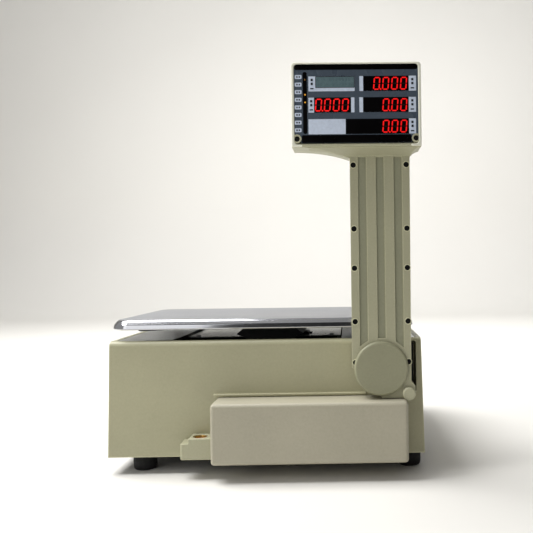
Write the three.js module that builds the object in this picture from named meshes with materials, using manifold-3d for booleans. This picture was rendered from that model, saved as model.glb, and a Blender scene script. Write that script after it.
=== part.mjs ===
// A label-printing retail price scale with a folding customer display.
// Millimetres. +X to the customer's right, +Y away from the customer, +Z up.
// The parts are drawn with Y = 0 on the housing's customer-side face, Z = 0 on the counter.
import * as THREE from "three";
import { mergeVertices } from "three/addons/utils/BufferGeometryUtils.js";
import Module from "manifold-3d";

const wasm = await Module();
wasm.setup();

// ---------------------------------------------------------------- driving dimensions
const GAP = 0.3; // air between pieces that touch
const WALL = 3; // moulded plastic wall
const HOUSING = { halfWidth: 200, depth: 350, bottom: 22, top: 168, draft: 0.00011, edge: 4 };
const CONSOLE = { start: 250, frontTop: 100 }; // the operator's slope
const DECK = { left: -190, right: 190, front: 7, back: 246, sheet: 1.5 };
const WELL = { left: -122, right: 96, front: 11, back: 225, floor: 150, coverFront: 92 };
const STEM = { x: 34, y: 130, half: 14 }; // the spider's leg on the load cell
const CELL = { left: -92, right: 58, front: 112, back: 148, bottom: 62, top: 100 };
const SPIDER = { left: -43, right: 39, front: 50, back: 210, bottom: 165, top: 180, padX: 155, padY: 88 };
const PLATTER = {
  ...{ left: -199, right: 189, front: 2, back: 242 },
  ...{ bottom: 182, top: 194, corner: 24, sheet: 1.5 },
};
const PEDESTAL = { left: -62.5, right: 176, front: -45, top: 96, edge: 4 };
const LUG = { left: -93, step: -103, front: -27, bottom: 25, top: 51, stepTop: 44.8 };
const VIAL = { x: -80.5, y: -13.4, r: 8.7, depth: 14 };
const HINGE = { x: 144.8, z: 133.6, disc: 33.4, axle: 7, collar: 37 };
const POCKET = { left: 127, right: 191, bottom: 99.5, top: 162, back: 28 };
const COLUMN = { left: 109.1, right: 182.9, front: -25, back: -4, parting: -14.7, heel: 97 };
const KNOB = { x: 178.4, z: 102.4, r: 8.2, front: -31 };
const HEAD = { left: 40, right: 195.6, front: -47, bottom: 403, top: 504, neck: 392, chin: 395 };
const SHELL = 2.5; // wall of the display arm's two mouldings
const BOARD = { front: -36.2, thick: 1.6 };
const WINDOW = { left: 43.4, right: 192.2, bottom: 407, top: 501.8, thick: 1.5, screwZ: 412.5 };
const FOOT = { r: 15, tip: 12, height: 20, stud: 4, studTop: 34 };
const FEET = [
  [-162, 30],
  [182.5, 30],
  [-162, 320],
  [182.5, 320],
];
const BAY = { front: 257, back: 338, bottom: 32, top: 96 }; // printer door in the left wall
const ROLL = { x0: -190, x1: -140, y: 291, z: 61, r: 27, core: 13 };
const PLATEN = { x0: -186, x1: -112, y: 331, z: 68, r: 7 };
const MOTOR = { x0: -95, x1: -62, y: 312, z: 46, half: 16 };
const BELT = { x0: -103, x1: -99, pulley: 6, thick: 1.2 };
const PRINTER_PLATE = { x0: -108, x1: -106 };
const SLOT = { left: -184, right: -114, bottom: 72, top: 80 };
const INLET = { y: 300, z: 58, halfY: 15, halfZ: 11, depth: 24 };
const ROCKER = { y: 252, z: 58, halfY: 7, halfZ: 11 };
const PORT = { y: 212, z: 52, halfY: 8, halfZ: 7, depth: 16 };
// the display's rows, as [left, right, bottom, top] behind the customer's window
const LCD_PANEL = [61, 116, 470.3, 488];
const LED_PANELS = [
  [126.4, 180, 470.3, 488],
  [68, 111.4, 445.2, 463],
  [126.4, 180, 445.2, 463],
  [105.3, 180.7, 418.5, 436.7],
];

// ---------------------------------------------------------------- materials
function material(color, roughness, metalness = 0) {
  return new THREE.MeshStandardMaterial({ color, roughness, metalness });
}
const housingPlastic = material(0xb7b29a, 0.5);
const columnPlastic = material(0xb0ad95, 0.5);
const lightPlastic = material(0xd9d6bd, 0.45);
const blackPlastic = material(0x151516, 0.45);
const rubber = material(0x0e0e0f, 0.8);
const stainless = material(0xc4c6c8, 0.22, 1);
const deckSheet = material(0xa0a09e, 0.4, 0.6);
const steel = material(0x8d9094, 0.4, 1);
const castIron = material(0x111112, 0.6, 0.4);
const board = material(0x1f5a34, 0.6);
const glass = material(0x46505f, 0.1);
const liquid = material(0x6b3d16, 0.2);
const ledRed = material(0x360808, 0.4);
const lcdGrey = material(0x7d969b, 0.4);
const paper = material(0xe9e6dc, 0.9);
const brass = material(0xb08d4a, 0.35, 1);

// ---------------------------------------------------------------- solids
function toSolid(geometry) {
  const bare = geometry.clone();
  bare.deleteAttribute("normal");
  bare.deleteAttribute("uv");
  const merged = mergeVertices(bare, 1e-3);
  const vertProperties = new Float32Array(merged.attributes.position.array);
  const triVerts = new Uint32Array(merged.index.array);
  return new wasm.Manifold(new wasm.Mesh({ numProp: 3, vertProperties, triVerts }));
}

function toGeometry(solid) {
  const mesh = solid.getMesh();
  const geometry = new THREE.BufferGeometry();
  geometry.setAttribute("position", new THREE.BufferAttribute(new Float32Array(mesh.vertProperties), 3));
  geometry.setIndex(new THREE.BufferAttribute(new Uint32Array(mesh.triVerts), 1));
  const flat = geometry.toNonIndexed();
  flat.computeVertexNormals();
  return flat;
}

function join(...geometries) {
  return toGeometry(geometries.map(toSolid).reduce((sum, next) => sum.add(next)));
}

function cut(body, ...tools) {
  return toGeometry(tools.map(toSolid).reduce((rest, tool) => rest.subtract(tool), toSolid(body)));
}

function common(first, second) {
  return toGeometry(toSolid(first).intersect(toSolid(second)));
}

function block(x0, x1, y0, y1, z0, z1) {
  const geometry = new THREE.BoxGeometry(x1 - x0, y1 - y0, z1 - z0);
  return geometry.translate((x0 + x1) / 2, (y0 + y1) / 2, (z0 + z1) / 2);
}

// A round bar along one axis, from one coordinate to another, centred on the other two.
function bar(axis, r, from, to, centre, sides = 24, farR = r) {
  const geometry = new THREE.CylinderGeometry(farR, r, to - from, sides).translate(0, (from + to) / 2, 0);
  if (axis === "x") geometry.rotateZ(-Math.PI / 2).translate(0, centre[0], centre[1]);
  if (axis === "y") geometry.translate(centre[0], 0, centre[1]);
  if (axis === "z") geometry.rotateX(Math.PI / 2).translate(centre[0], centre[1], 0);
  return geometry;
}

// An outline drawn in X and Z, extruded from y0 to y1.
function extrudeY(shape, y0, y1, options = {}) {
  const geometry = new THREE.ExtrudeGeometry(shape, { depth: y1 - y0, bevelEnabled: false, ...options });
  return geometry.rotateX(Math.PI / 2).translate(0, y1, 0);
}

// An outline drawn in Y and Z, extruded from x0 to x1.
function extrudeX(shape, x0, x1, options = {}) {
  const geometry = new THREE.ExtrudeGeometry(shape, { depth: x1 - x0, bevelEnabled: false, ...options });
  const turn = new THREE.Matrix4().set(0, 0, 1, x0, 1, 0, 0, 0, 0, 1, 0, 0, 0, 0, 0, 1);
  return geometry.applyMatrix4(turn);
}

// An outline drawn in X and Y, extruded from z0 to z1.
function extrudeZ(shape, z0, z1, options = {}) {
  const geometry = new THREE.ExtrudeGeometry(shape, { depth: z1 - z0, bevelEnabled: false, ...options });
  return geometry.translate(0, 0, z0);
}

// Options for an extrusion with round ends that stays inside its outline.
function bevelled(size, segments) {
  return {
    bevelEnabled: true,
    bevelThickness: size,
    bevelSize: size,
    bevelOffset: -size,
    bevelSegments: segments,
    curveSegments: 3,
  };
}

function polygon(points) {
  return new THREE.Shape(points.map(([u, v]) => new THREE.Vector2(u, v)));
}

function roundedRectangle(u0, u1, v0, v1, r) {
  const shape = new THREE.Shape();
  shape.moveTo(u0 + r, v0);
  shape.lineTo(u1 - r, v0);
  shape.absarc(u1 - r, v0 + r, r, -Math.PI / 2, 0);
  shape.absarc(u1 - r, v1 - r, r, 0, Math.PI / 2);
  shape.absarc(u0 + r, v1 - r, r, Math.PI / 2, Math.PI);
  shape.absarc(u0 + r, v0 + r, r, Math.PI, 1.5 * Math.PI);
  return shape;
}

// Nested groups: one for each piece that moves, so that each keeps its own pivot.
const scale = new THREE.Group();
scale.position.y = -(HOUSING.depth + HEAD.front) / 2;
const bodies = {};
for (const name of ["base", "platter", "column", "lock", "feet", "rocker", "door", "printer"]) {
  bodies[name] = new THREE.Group();
  scale.add(bodies[name]);
}

function add(body, name, geometry, look, position = [0, 0, 0]) {
  const mesh = new THREE.Mesh(geometry, look);
  mesh.name = name;
  mesh.position.set(...position);
  bodies[body].add(mesh);
}

// ---------------------------------------------------------------- housing
// Outline of the housing from the side, drawn inset by a wall; the corners are rounded.
function housingOutline(inset, r) {
  const front = inset;
  const rear = HOUSING.depth - inset;
  const bottom = HOUSING.bottom;
  const top = HOUSING.top - inset;
  const slope = (HOUSING.top - CONSOLE.frontTop) / (HOUSING.depth - CONSOLE.start);
  const slopeStart = CONSOLE.start - inset * 0.3;
  const slopeEnd = top - slope * (rear - slopeStart);
  const shape = new THREE.Shape();
  shape.moveTo(rear, bottom);
  shape.lineTo(rear, slopeEnd - r);
  shape.quadraticCurveTo(rear, slopeEnd, rear - r, slopeEnd + r * slope);
  shape.lineTo(slopeStart + r, top - r * slope);
  shape.quadraticCurveTo(slopeStart, top, slopeStart - r, top);
  shape.lineTo(front + r, top);
  shape.quadraticCurveTo(front, top, front, top - r);
  shape.lineTo(front, bottom);
  return shape;
}

// The side walls lean inwards towards the top, so each width shrinks with height.
function withDraft(geometry) {
  const position = geometry.attributes.position;
  for (let i = 0; i < position.count; i += 1) {
    const lean = 1 - HOUSING.draft * (position.getZ(i) - HOUSING.bottom);
    position.setX(i, position.getX(i) * lean);
  }
  return geometry;
}

function housingBlock() {
  const edge = HOUSING.edge;
  const half = HOUSING.halfWidth;
  const rounded = extrudeX(housingOutline(0, 8), -half + edge, half - edge, bevelled(edge, 3));
  const square = block(-half, half, 0, HOUSING.depth, HOUSING.bottom, HOUSING.bottom + 8);
  const aboveFoot = block(-half, half, -1, HOUSING.depth + 1, HOUSING.bottom + 7, HOUSING.top + 1);
  const trimmed = common(rounded, aboveFoot);
  const edgeStrip = extrudeZ(
    roundedRectangle(-half, half, 0, HOUSING.depth, edge),
    HOUSING.bottom,
    HOUSING.bottom + 7.5,
    { curveSegments: 3 },
  );
  return withDraft(join(trimmed, common(square, edgeStrip)));
}

function housingCavity() {
  const half = HOUSING.halfWidth - WALL;
  const inner = extrudeX(housingOutline(WALL, 5), -half, half, { curveSegments: 2 });
  inner.translate(0, 0, -1);
  const room = block(-half, half, 0, HOUSING.depth, HOUSING.bottom - 1, HOUSING.top - WALL);
  return withDraft(common(inner, room));
}

const console = new THREE.Object3D();
console.position.set(0, CONSOLE.start, HOUSING.top);
console.rotation.x = -Math.atan2(HOUSING.top - CONSOLE.frontTop, HOUSING.depth - CONSOLE.start);
console.updateMatrix();
const KEYBOARD = { half: 165, start: 10, end: 110, recess: 1.2, thick: 1 };

function onConsole(geometry) {
  return geometry.applyMatrix4(console.matrix);
}

function bead() {
  const reach = 3.4;
  const right = POCKET.left - GAP;
  return block(PEDESTAL.left - reach, right, -2.6, 1, PEDESTAL.top + 1, PEDESTAL.top + 4.4);
}

function upperHousing() {
  const shell = cut(housingBlock(), housingCavity());
  const { left, right, bottom, top, back } = POCKET;
  const pocketBlock = block(left - WALL, right + WALL, 1, back + WALL, bottom - WALL, top + 5);
  const pocket = block(left, right, -1, back, bottom, top);
  const recess = block(DECK.left - GAP, DECK.right + GAP, DECK.front - GAP, DECK.back + GAP, 166, 170);
  const wellHole = block(WELL.left - 2, WELL.right + 2, WELL.front - 2, WELL.back + 2, 160, 170);
  const keyboard = onConsole(
    block(-KEYBOARD.half, KEYBOARD.half, KEYBOARD.start, KEYBOARD.end, -KEYBOARD.recess, 5),
  );
  const door = block(-210, -190, BAY.front - 0.4, BAY.back + 0.4, BAY.bottom - 0.4, BAY.top + 0.4);
  const labelSlot = block(SLOT.left, SLOT.right, 340, 360, SLOT.bottom, SLOT.top);
  const inletHole = sideHole(INLET, GAP);
  const rockerHole = sideHole(ROCKER, 2 + GAP);
  const portHole = sideHole(PORT, GAP);
  const plugHole = block(-30, 30, -1, 6, 40, 60);
  return cut(
    join(shell, pocketBlock, bead()),
    pocket,
    recess,
    wellHole,
    keyboard,
    door,
    labelSlot,
    inletHole,
    rockerHole,
    portHole,
    plugHole,
  );
}

function sideHole(fitting, air) {
  const { y, z, halfY, halfZ } = fitting;
  return block(190, 210, y - halfY - air, y + halfY + air, z - halfZ - air, z + halfZ + air);
}

function basePlate() {
  const plate = extrudeZ(roundedRectangle(-195.5, 195.5, 4, 346, 5), 24, 27, { curveSegments: 3 });
  return cut(plate, ...FEET.map((centre) => bar("z", FOOT.stud + GAP, 20, 30, centre, 16)));
}

// An open box with a rounded front, screwed to the housing's face from inside.
function pedestalHousing() {
  const { left, right, front, top, edge } = PEDESTAL;
  const outline = roundedRectangle(left, right, HOUSING.bottom, top, edge);
  const outer = common(
    extrudeY(outline, front + 3, 6, bevelled(3, 2)),
    block(left, right, front, -GAP, HOUSING.bottom, top),
  );
  const inner = block(left + WALL, right - WALL, front + WALL, 5, HOUSING.bottom + WALL, top - WALL);
  return cut(outer, inner);
}

function deckTray() {
  const { left, right, front, back, sheet } = DECK;
  const plate = block(left, right, front, back, 166 + GAP, 166 + GAP + sheet);
  const wellBlock = (wall, bottom, top) =>
    block(WELL.left - wall, WELL.right + wall, WELL.front - wall, WELL.back + wall, bottom, top);
  const pan = wellBlock(sheet, WELL.floor - sheet, 167);
  const hollow = wellBlock(0, WELL.floor, 175);
  return cut(join(plate, pan), hollow, bar("z", 24, 140, 155, [STEM.x, STEM.y], 24));
}

function cellCover() {
  const { left, right, coverFront, floor } = WELL;
  const cover = block(left + 2, right - 2, coverFront, 222, floor + 12, floor + 13.5);
  const leg = (x) => block(x, x + 3, coverFront + 6, 216, floor + GAP, floor + 12.5);
  const legs = [left + 4, right - 7].map(leg);
  const hole = block(STEM.x - 18, STEM.x + 18, STEM.y - 20, STEM.y + 20, floor, floor + 20);
  return cut(join(cover, ...legs), hole);
}

function wellSeal() {
  const ring = bar("z", 23.6, WELL.floor - 1.6, WELL.floor + 3, [STEM.x, STEM.y], 24);
  return cut(ring, bar("z", 20.5, 140, 160, [STEM.x, STEM.y], 24));
}

function loadCell() {
  const middle = (CELL.left + CELL.right) / 2;
  const height = (CELL.bottom + CELL.top) / 2;
  const beam = block(CELL.left, CELL.right, CELL.front, CELL.back, CELL.bottom, CELL.top);
  const eyes = [-17, 17].map((x) => bar("y", 12, 100, 160, [middle + x, height], 20));
  return cut(beam, ...eyes, block(middle - 17, middle + 17, 100, 160, height - 5, height + 5));
}

function cellSpacer() {
  return block(CELL.left, CELL.left + 34, CELL.front, CELL.back, 27 + GAP, CELL.bottom - GAP);
}

function levelBracket() {
  const right = PEDESTAL.left - GAP;
  const upper = block(LUG.left, right, LUG.front, -GAP, LUG.bottom, LUG.top);
  const step = block(LUG.step, LUG.left + 1, LUG.front, -GAP, LUG.bottom, LUG.stepTop);
  const bore = bar("z", VIAL.r + GAP, LUG.top - VIAL.depth, LUG.top + 1, [VIAL.x, VIAL.y], 24);
  return cut(join(upper, step), bore);
}

function levelVial() {
  return bar("z", VIAL.r, LUG.top - VIAL.depth + GAP, LUG.top - 2, [VIAL.x, VIAL.y], 24);
}

function hingeBracket() {
  const plate = block(POCKET.left + 2, POCKET.right - 2, POCKET.back - 4, POCKET.back - GAP, 102, 159);
  const boss = bar("y", 16, 1.5, POCKET.back - 3, [HINGE.x, HINGE.z], 32);
  return cut(join(plate, boss), bar("y", HINGE.axle + GAP, -5, 40, [HINGE.x, HINGE.z], 32));
}

function hingeAxle() {
  return bar("y", HINGE.axle, -21.5, POCKET.back - 1, [HINGE.x, HINGE.z], 32);
}

function axleNut() {
  const nut = bar("y", 11, -21, -15.2, [HINGE.x, HINGE.z], 6);
  return cut(nut, bar("y", HINGE.axle + GAP, -30, -10, [HINGE.x, HINGE.z], 32));
}

function keyboardPad() {
  const { half, start, end, recess, thick } = KEYBOARD;
  const base = -recess + GAP;
  return onConsole(block(-half + GAP, half - GAP, start + GAP, end - GAP, base, base + thick));
}

function powerInlet() {
  const { y, z, halfY, halfZ, depth } = INLET;
  const outside = HOUSING.halfWidth;
  const body = block(outside - depth, outside, y - halfY, y + halfY, z - halfZ, z + halfZ);
  const socket = block(outside - depth + 4, outside + 1, y - 12.5, y + 12.5, z - 8.5, z + 8.5);
  const blades = [
    [-7, -2],
    [7, -2],
    [0, 3],
  ].map(([dy, dz]) => {
    const [across, up] = [y + dy, z + dz];
    return block(outside - depth + 2, outside - 6, across - 1, across + 1, up - 2, up + 2);
  });
  return join(cut(body, socket), ...blades);
}

function dataPort() {
  const { y, z, halfY, halfZ, depth } = PORT;
  const outside = HOUSING.halfWidth;
  const body = block(outside - depth, outside, y - halfY, y + halfY, z - halfZ, z + halfZ);
  return cut(body, block(outside - depth + 2, outside + 1, y - 6, y + 6, z - 5, z + 5));
}

function switchFrame() {
  const { y, z, halfY, halfZ } = ROCKER;
  const frame = block(182, HOUSING.halfWidth, y - halfY - 2, y + halfY + 2, z - halfZ - 2, z + halfZ + 2);
  return cut(frame, block(184, 202, y - halfY, y + halfY, z - halfZ, z + halfZ));
}

// The rocker turns about Y: a wedge whose two faces meet over its pivot.
function powerRocker() {
  const reach = 8.6;
  const outline = polygon([
    [198.6, ROCKER.z],
    [HOUSING.halfWidth, ROCKER.z + reach],
    [191, ROCKER.z + reach],
    [187, ROCKER.z],
    [191, ROCKER.z - reach],
    [196.6, ROCKER.z - reach],
  ]);
  return extrudeY(outline, ROCKER.y - ROCKER.halfY + 0.5, ROCKER.y + ROCKER.halfY - 0.5);
}

add("base", "upper_housing", upperHousing(), housingPlastic);
add("base", "base_plate", basePlate(), blackPlastic);
add("base", "pedestal_housing", pedestalHousing(), housingPlastic);
add("base", "deck_tray", deckTray(), deckSheet);
add("base", "cell_cover", cellCover(), stainless);
add("base", "well_seal", wellSeal(), rubber);
add("base", "load_cell", loadCell(), steel);
add("base", "cell_spacer", cellSpacer(), steel);
add("base", "level_bracket", levelBracket(), housingPlastic);
add("base", "level_vial", levelVial(), liquid);
add("base", "hinge_bracket", hingeBracket(), castIron);
add("base", "hinge_axle", hingeAxle(), steel);
add("base", "axle_nut", axleNut(), steel);
add("base", "keyboard_pad", keyboardPad(), lightPlastic);
add("base", "main_board", block(-50, 90, 262, 338, 34, 36), board);
add("base", "power_supply", block(100, 168, 232, 336, 30, 66), steel);
add("base", "power_inlet", powerInlet(), blackPlastic);
add("base", "data_port", dataPort(), blackPlastic);
add("base", "switch_frame", switchFrame(), blackPlastic);
add("rocker", "power_rocker", powerRocker(), blackPlastic);

// ---------------------------------------------------------------- label printer behind the left door
function printerFrame() {
  const { x0, x1 } = PRINTER_PLATE;
  const plate = block(x0, x1, BAY.front + 3, BAY.back + 4, 27 + GAP, 92);
  const flange = block(x0, x1 + 26, BAY.front + 3, BAY.back - 8, 27 + GAP, 29 + GAP);
  return cut(join(plate, flange), bar("x", 3 + GAP, -120, -90, [PLATEN.y, PLATEN.z], 20));
}

function printHead() {
  return block(PLATEN.x0, PRINTER_PLATE.x0 - GAP, PLATEN.y - 7, PLATEN.y + 7, PLATEN.z + PLATEN.r + 0.4, 84);
}

function platenRoller() {
  const centre = [PLATEN.y, PLATEN.z];
  return join(
    bar("x", PLATEN.r, PLATEN.x0, PLATEN.x1, centre),
    bar("x", 3, PLATEN.x1 - 1, BELT.x1 + 1, centre, 20),
    bar("x", BELT.pulley, BELT.x0, BELT.x1, centre),
  );
}

function driveBelt() {
  const across = PLATEN.y - MOTOR.y;
  const up = PLATEN.z - MOTOR.z;
  const run = Math.hypot(across, up);
  const ring = (r, x0, x1) => {
    const outline = roundedRectangle(-run / 2 - r, run / 2 + r, -r, r, r - 0.01);
    const band = extrudeX(outline, x0, x1, { curveSegments: 8 }).rotateX(Math.atan2(up, across));
    return band.translate(0, (PLATEN.y + MOTOR.y) / 2, (PLATEN.z + MOTOR.z) / 2);
  };
  const inner = BELT.pulley + GAP;
  return cut(ring(inner + BELT.thick, BELT.x0, BELT.x1), ring(inner, BELT.x0 - 1, BELT.x1 + 1));
}

function labelRoll() {
  const centre = [ROLL.y, ROLL.z];
  return cut(bar("x", ROLL.r, ROLL.x0, ROLL.x1, centre, 36), bar("x", ROLL.core, -200, -100, centre, 24));
}

function rollSpindle() {
  return bar("x", ROLL.core - GAP, ROLL.x0 + 1, PRINTER_PLATE.x0 - GAP, [ROLL.y, ROLL.z]);
}

function stepperMotor() {
  const { x0, x1, y, z, half } = MOTOR;
  return block(x0, x1, y - half, y + half, z - half, z + half);
}

function motorPulley() {
  return bar("x", BELT.pulley, BELT.x0, MOTOR.x0 - GAP, [MOTOR.y, MOTOR.z]);
}

const printerDoor = common(
  cut(housingBlock(), housingCavity()),
  block(-205, -190, BAY.front, BAY.back, BAY.bottom, BAY.top),
);

add("base", "printer_frame", printerFrame(), steel);
add("base", "print_head", printHead(), steel);
add("base", "roll_spindle", rollSpindle(), blackPlastic);
add("base", "stepper_motor", stepperMotor(), steel);
add("base", "drive_belt", driveBelt(), rubber);
add("base", "tear_bar", block(-186, -112, PLATEN.y + 9.5, HOUSING.depth - WALL - GAP, 80.8, 82.3), stainless);
add("door", "printer_door", printerDoor, housingPlastic);
add("printer", "platen_roller", platenRoller(), rubber);
add("printer", "motor_pulley", motorPulley(), brass);
add("printer", "label_roll", labelRoll(), paper);

// ---------------------------------------------------------------- weighing side
function spider() {
  const middleX = (PLATTER.left + PLATTER.right) / 2;
  const middleY = (PLATTER.front + PLATTER.back) / 2;
  const outline = polygon([
    [SPIDER.left + 12, SPIDER.bottom],
    [SPIDER.right - 7, SPIDER.bottom],
    [SPIDER.right + 5, SPIDER.bottom + 5.5],
    [SPIDER.right - 8, SPIDER.top],
    [SPIDER.left + 9, SPIDER.top],
    [SPIDER.left - 2, SPIDER.bottom + 5.5],
  ]);
  const hub = extrudeY(outline, SPIDER.front, SPIDER.back);
  const { x, y, half } = STEM;
  const leg = block(x - half, x + half, y - half, y + half, CELL.top + GAP, SPIDER.bottom + 1);
  const reach = Math.hypot(SPIDER.padX, SPIDER.padY);
  const arms = [1, -1].map((side) => {
    const outer = roundedRectangle(-reach - 10, reach + 10, -8, 8, 7.9);
    const arm = extrudeZ(outer, SPIDER.top - 1.5, 186, { curveSegments: 3 });
    return arm.rotateZ(side * Math.atan2(SPIDER.padY, SPIDER.padX)).translate(middleX, middleY, 0);
  });
  return join(hub, leg, ...arms);
}

// The inverted pan's outside, or its inside when drawn inset by the sheet.
function panBlock(inset) {
  const { left, right, front, back, top, corner } = PLATTER;
  const roll = 9 - inset;
  const outline = roundedRectangle(left + inset, right - inset, front + inset, back - inset, corner - inset);
  return extrudeZ(outline, top - 30, top - inset - roll, { ...bevelled(roll, 4), curveSegments: 5 });
}

function platter() {
  const { left, right, front, back, bottom, top, sheet } = PLATTER;
  const whole = common(panBlock(0), block(left - 1, right + 1, front - 1, back + 1, bottom, top + 1));
  return cut(whole, panBlock(sheet));
}

add("base", "spider", spider(), castIron);
[
  [-1, -1],
  [1, -1],
  [-1, 1],
  [1, 1],
].forEach(([sideX, sideY], index) => {
  const x = (PLATTER.left + PLATTER.right) / 2 + sideX * SPIDER.padX;
  const y = (PLATTER.front + PLATTER.back) / 2 + sideY * SPIDER.padY;
  const pad = bar("z", 9, 186 + GAP, PLATTER.top - PLATTER.sheet - GAP, [0, 0], 16);
  add("base", `spider_pad_${index + 1}`, pad, rubber, [x, y, 0]);
});
add("platter", "platter", platter(), stainless);

// ---------------------------------------------------------------- folding display arm
// Two mouldings, front and back, each run from the hinge up into the display head.
// The column, seen by the customer: two straight sides, a round lower left corner about the
// hinge, a square lower right corner that rests on the box, and a small boss for the knob.
function columnOutline(inset) {
  const left = COLUMN.left + inset;
  const right = COLUMN.right - inset;
  const top = HEAD.chin + SHELL;
  const heel = COLUMN.heel + inset;
  const round = HINGE.disc - inset;
  const shape = new THREE.Shape();
  shape.moveTo(left, top);
  shape.lineTo(left, HINGE.z + 1);
  shape.lineTo(HINGE.x - round, HINGE.z);
  shape.absarc(HINGE.x, HINGE.z, round, Math.PI, 1.5 * Math.PI);
  shape.lineTo(HINGE.x + inset, heel);
  shape.lineTo(KNOB.x - 7, heel);
  shape.lineTo(KNOB.x, heel - 2.5);
  shape.absarc(KNOB.x, KNOB.z, KNOB.r - inset, -Math.PI / 2, 0);
  shape.lineTo(KNOB.x + KNOB.r - inset, KNOB.z + 9);
  shape.lineTo(right - 1.2, KNOB.z + 14);
  shape.lineTo(right, top);
  return shape;
}

// The head is a plain rectangle above; below, two hollow curves bring it down to the column.
function headOutline(inset) {
  const { left, right, bottom, top, neck } = HEAD;
  const corner = 3;
  const shape = new THREE.Shape();
  shape.moveTo(COLUMN.left + inset, neck - 10);
  shape.lineTo(COLUMN.right - inset, neck - 10);
  shape.lineTo(COLUMN.right - inset, neck);
  shape.quadraticCurveTo(COLUMN.right + 3 - inset, bottom - 2 + inset, right - inset, bottom + inset);
  shape.lineTo(right - inset, top - corner);
  shape.absarc(right - corner, top - corner, corner - inset, 0, Math.PI / 2);
  shape.absarc(left + corner, top - corner, corner - inset, Math.PI / 2, Math.PI);
  shape.lineTo(left + inset, bottom + inset);
  shape.quadraticCurveTo(COLUMN.left - 30, bottom + inset, COLUMN.left + inset, neck + inset);
  return shape;
}

// The head stands forward of the column, and its chin slopes back to it.
function headBlock(inset) {
  const { left, right, front, bottom, top, neck, chin } = HEAD;
  const back = COLUMN.back - inset;
  const side = polygon([
    [front + inset, bottom + inset],
    [COLUMN.front + inset, chin + inset],
    [COLUMN.front + inset, neck - 11],
    [back, neck - 11],
    [back, top],
    [front + inset, top],
  ]);
  const face = extrudeY(headOutline(inset), front, COLUMN.back, { curveSegments: 6 });
  return common(face, extrudeX(side, left, right));
}

function armBlock(inset) {
  const y0 = COLUMN.front + inset;
  const y1 = COLUMN.back - inset;
  return join(extrudeY(columnOutline(inset), y0, y1, { curveSegments: 10 }), headBlock(inset));
}

function armShell(y0, y1) {
  const slice = block(0, 220, y0, y1, 80, 520);
  const shell = cut(common(armBlock(0), slice), armBlock(SHELL));
  const knobTube = bar("y", 6, Math.max(y0, COLUMN.front), y1, [KNOB.x, KNOB.z], 20);
  return cut(join(shell, knobTube), bar("y", 3 + GAP, -60, 10, [KNOB.x, KNOB.z], 20));
}

const cornerScrews = [WINDOW.left + 3, WINDOW.right - 3].map((x) => [x, WINDOW.screwZ]);

function displayFrontShell() {
  const shell = armShell(HEAD.front, COLUMN.parting - GAP / 2);
  const y0 = COLUMN.front;
  const grooves = [
    [118.8, 129.3],
    [140.9, 151.1],
    [162.8, 173.3],
  ].map(([x0, x1]) => {
    const groove = block(x0, x1, y0 - 1, y0 + 1.2, HINGE.z, HEAD.chin - 1);
    return cut(groove, bar("y", HINGE.collar, -60, 0, [HINGE.x, HINGE.z], 48));
  });
  const nutAccess = bar("y", 20, -30, -20, [HINGE.x, HINGE.z], 32);
  const { left, right, bottom, top } = WINDOW;
  const opening = block(left, right, HEAD.front - 1, HEAD.front + 3, bottom, top);
  const bosses = cornerScrews.map((centre) => {
    const boss = bar("y", 5, HEAD.front + 0.2, HEAD.front + 3, centre, 20);
    return common(boss, headBlock(0.2));
  });
  return join(cut(shell, ...grooves, nutAccess, opening), ...bosses);
}

const OPERATOR = { left: 51, right: 185, bottom: 418, top: 496 };

function displayBackShell() {
  const shell = armShell(COLUMN.parting + GAP / 2, COLUMN.back);
  const boss = bar("y", 14, -12, COLUMN.back, [HINGE.x, HINGE.z], 32);
  const { left, right, bottom, top } = OPERATOR;
  const opening = block(left, right, COLUMN.back - 5, COLUMN.back + 1, bottom, top);
  return cut(join(shell, boss), bar("y", 9.3, -40, 10, [HINGE.x, HINGE.z], 32), opening);
}

function hingeBush() {
  const bush = bar("y", 9, -13.5, -1.8, [HINGE.x, HINGE.z], 32);
  return cut(bush, bar("y", HINGE.axle + 0.1, -40, 10, [HINGE.x, HINGE.z], 32));
}

function hingeCap() {
  const { x, z, disc } = HINGE;
  const profile = [
    [0, 0],
    [disc, 0],
    [disc, 2.4],
    [disc - 0.8, 4],
    [disc - 3, 5.2],
    [0, 5.2],
  ].map(([r, h]) => new THREE.Vector2(r, h));
  const cap = new THREE.LatheGeometry(profile, 64);
  return cap.rotateX(Math.PI).translate(x, COLUMN.front - GAP, z);
}

function customerWindow() {
  const { left, right, bottom, top, thick } = WINDOW;
  const y0 = HEAD.front + 0.9;
  const pane = block(left + GAP, right - GAP, y0, y0 + thick, bottom + GAP, top - GAP);
  const notches = cornerScrews.map(([x, z]) => {
    const r = 5 + GAP;
    const below = block(x - r, x + r, -60, -30, bottom - 1, z);
    return join(bar("y", r, -60, -30, [x, z], 20), below);
  });
  return cut(pane, ...notches);
}

function operatorWindow() {
  const { left, right, bottom, top } = OPERATOR;
  const y1 = COLUMN.back - 0.7;
  return block(left + GAP, right - GAP, y1 - 1.5, y1, bottom + GAP, top - GAP);
}

// A display module stands on the front of the display board.
function module(panel, depth) {
  const [left, right, bottom, top] = panel;
  const y1 = BOARD.front - GAP;
  return block(left, right, y1 - depth, y1, bottom, top);
}

function displayBoard() {
  return block(49, 187, BOARD.front, BOARD.front + BOARD.thick, 412, 498);
}

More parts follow.
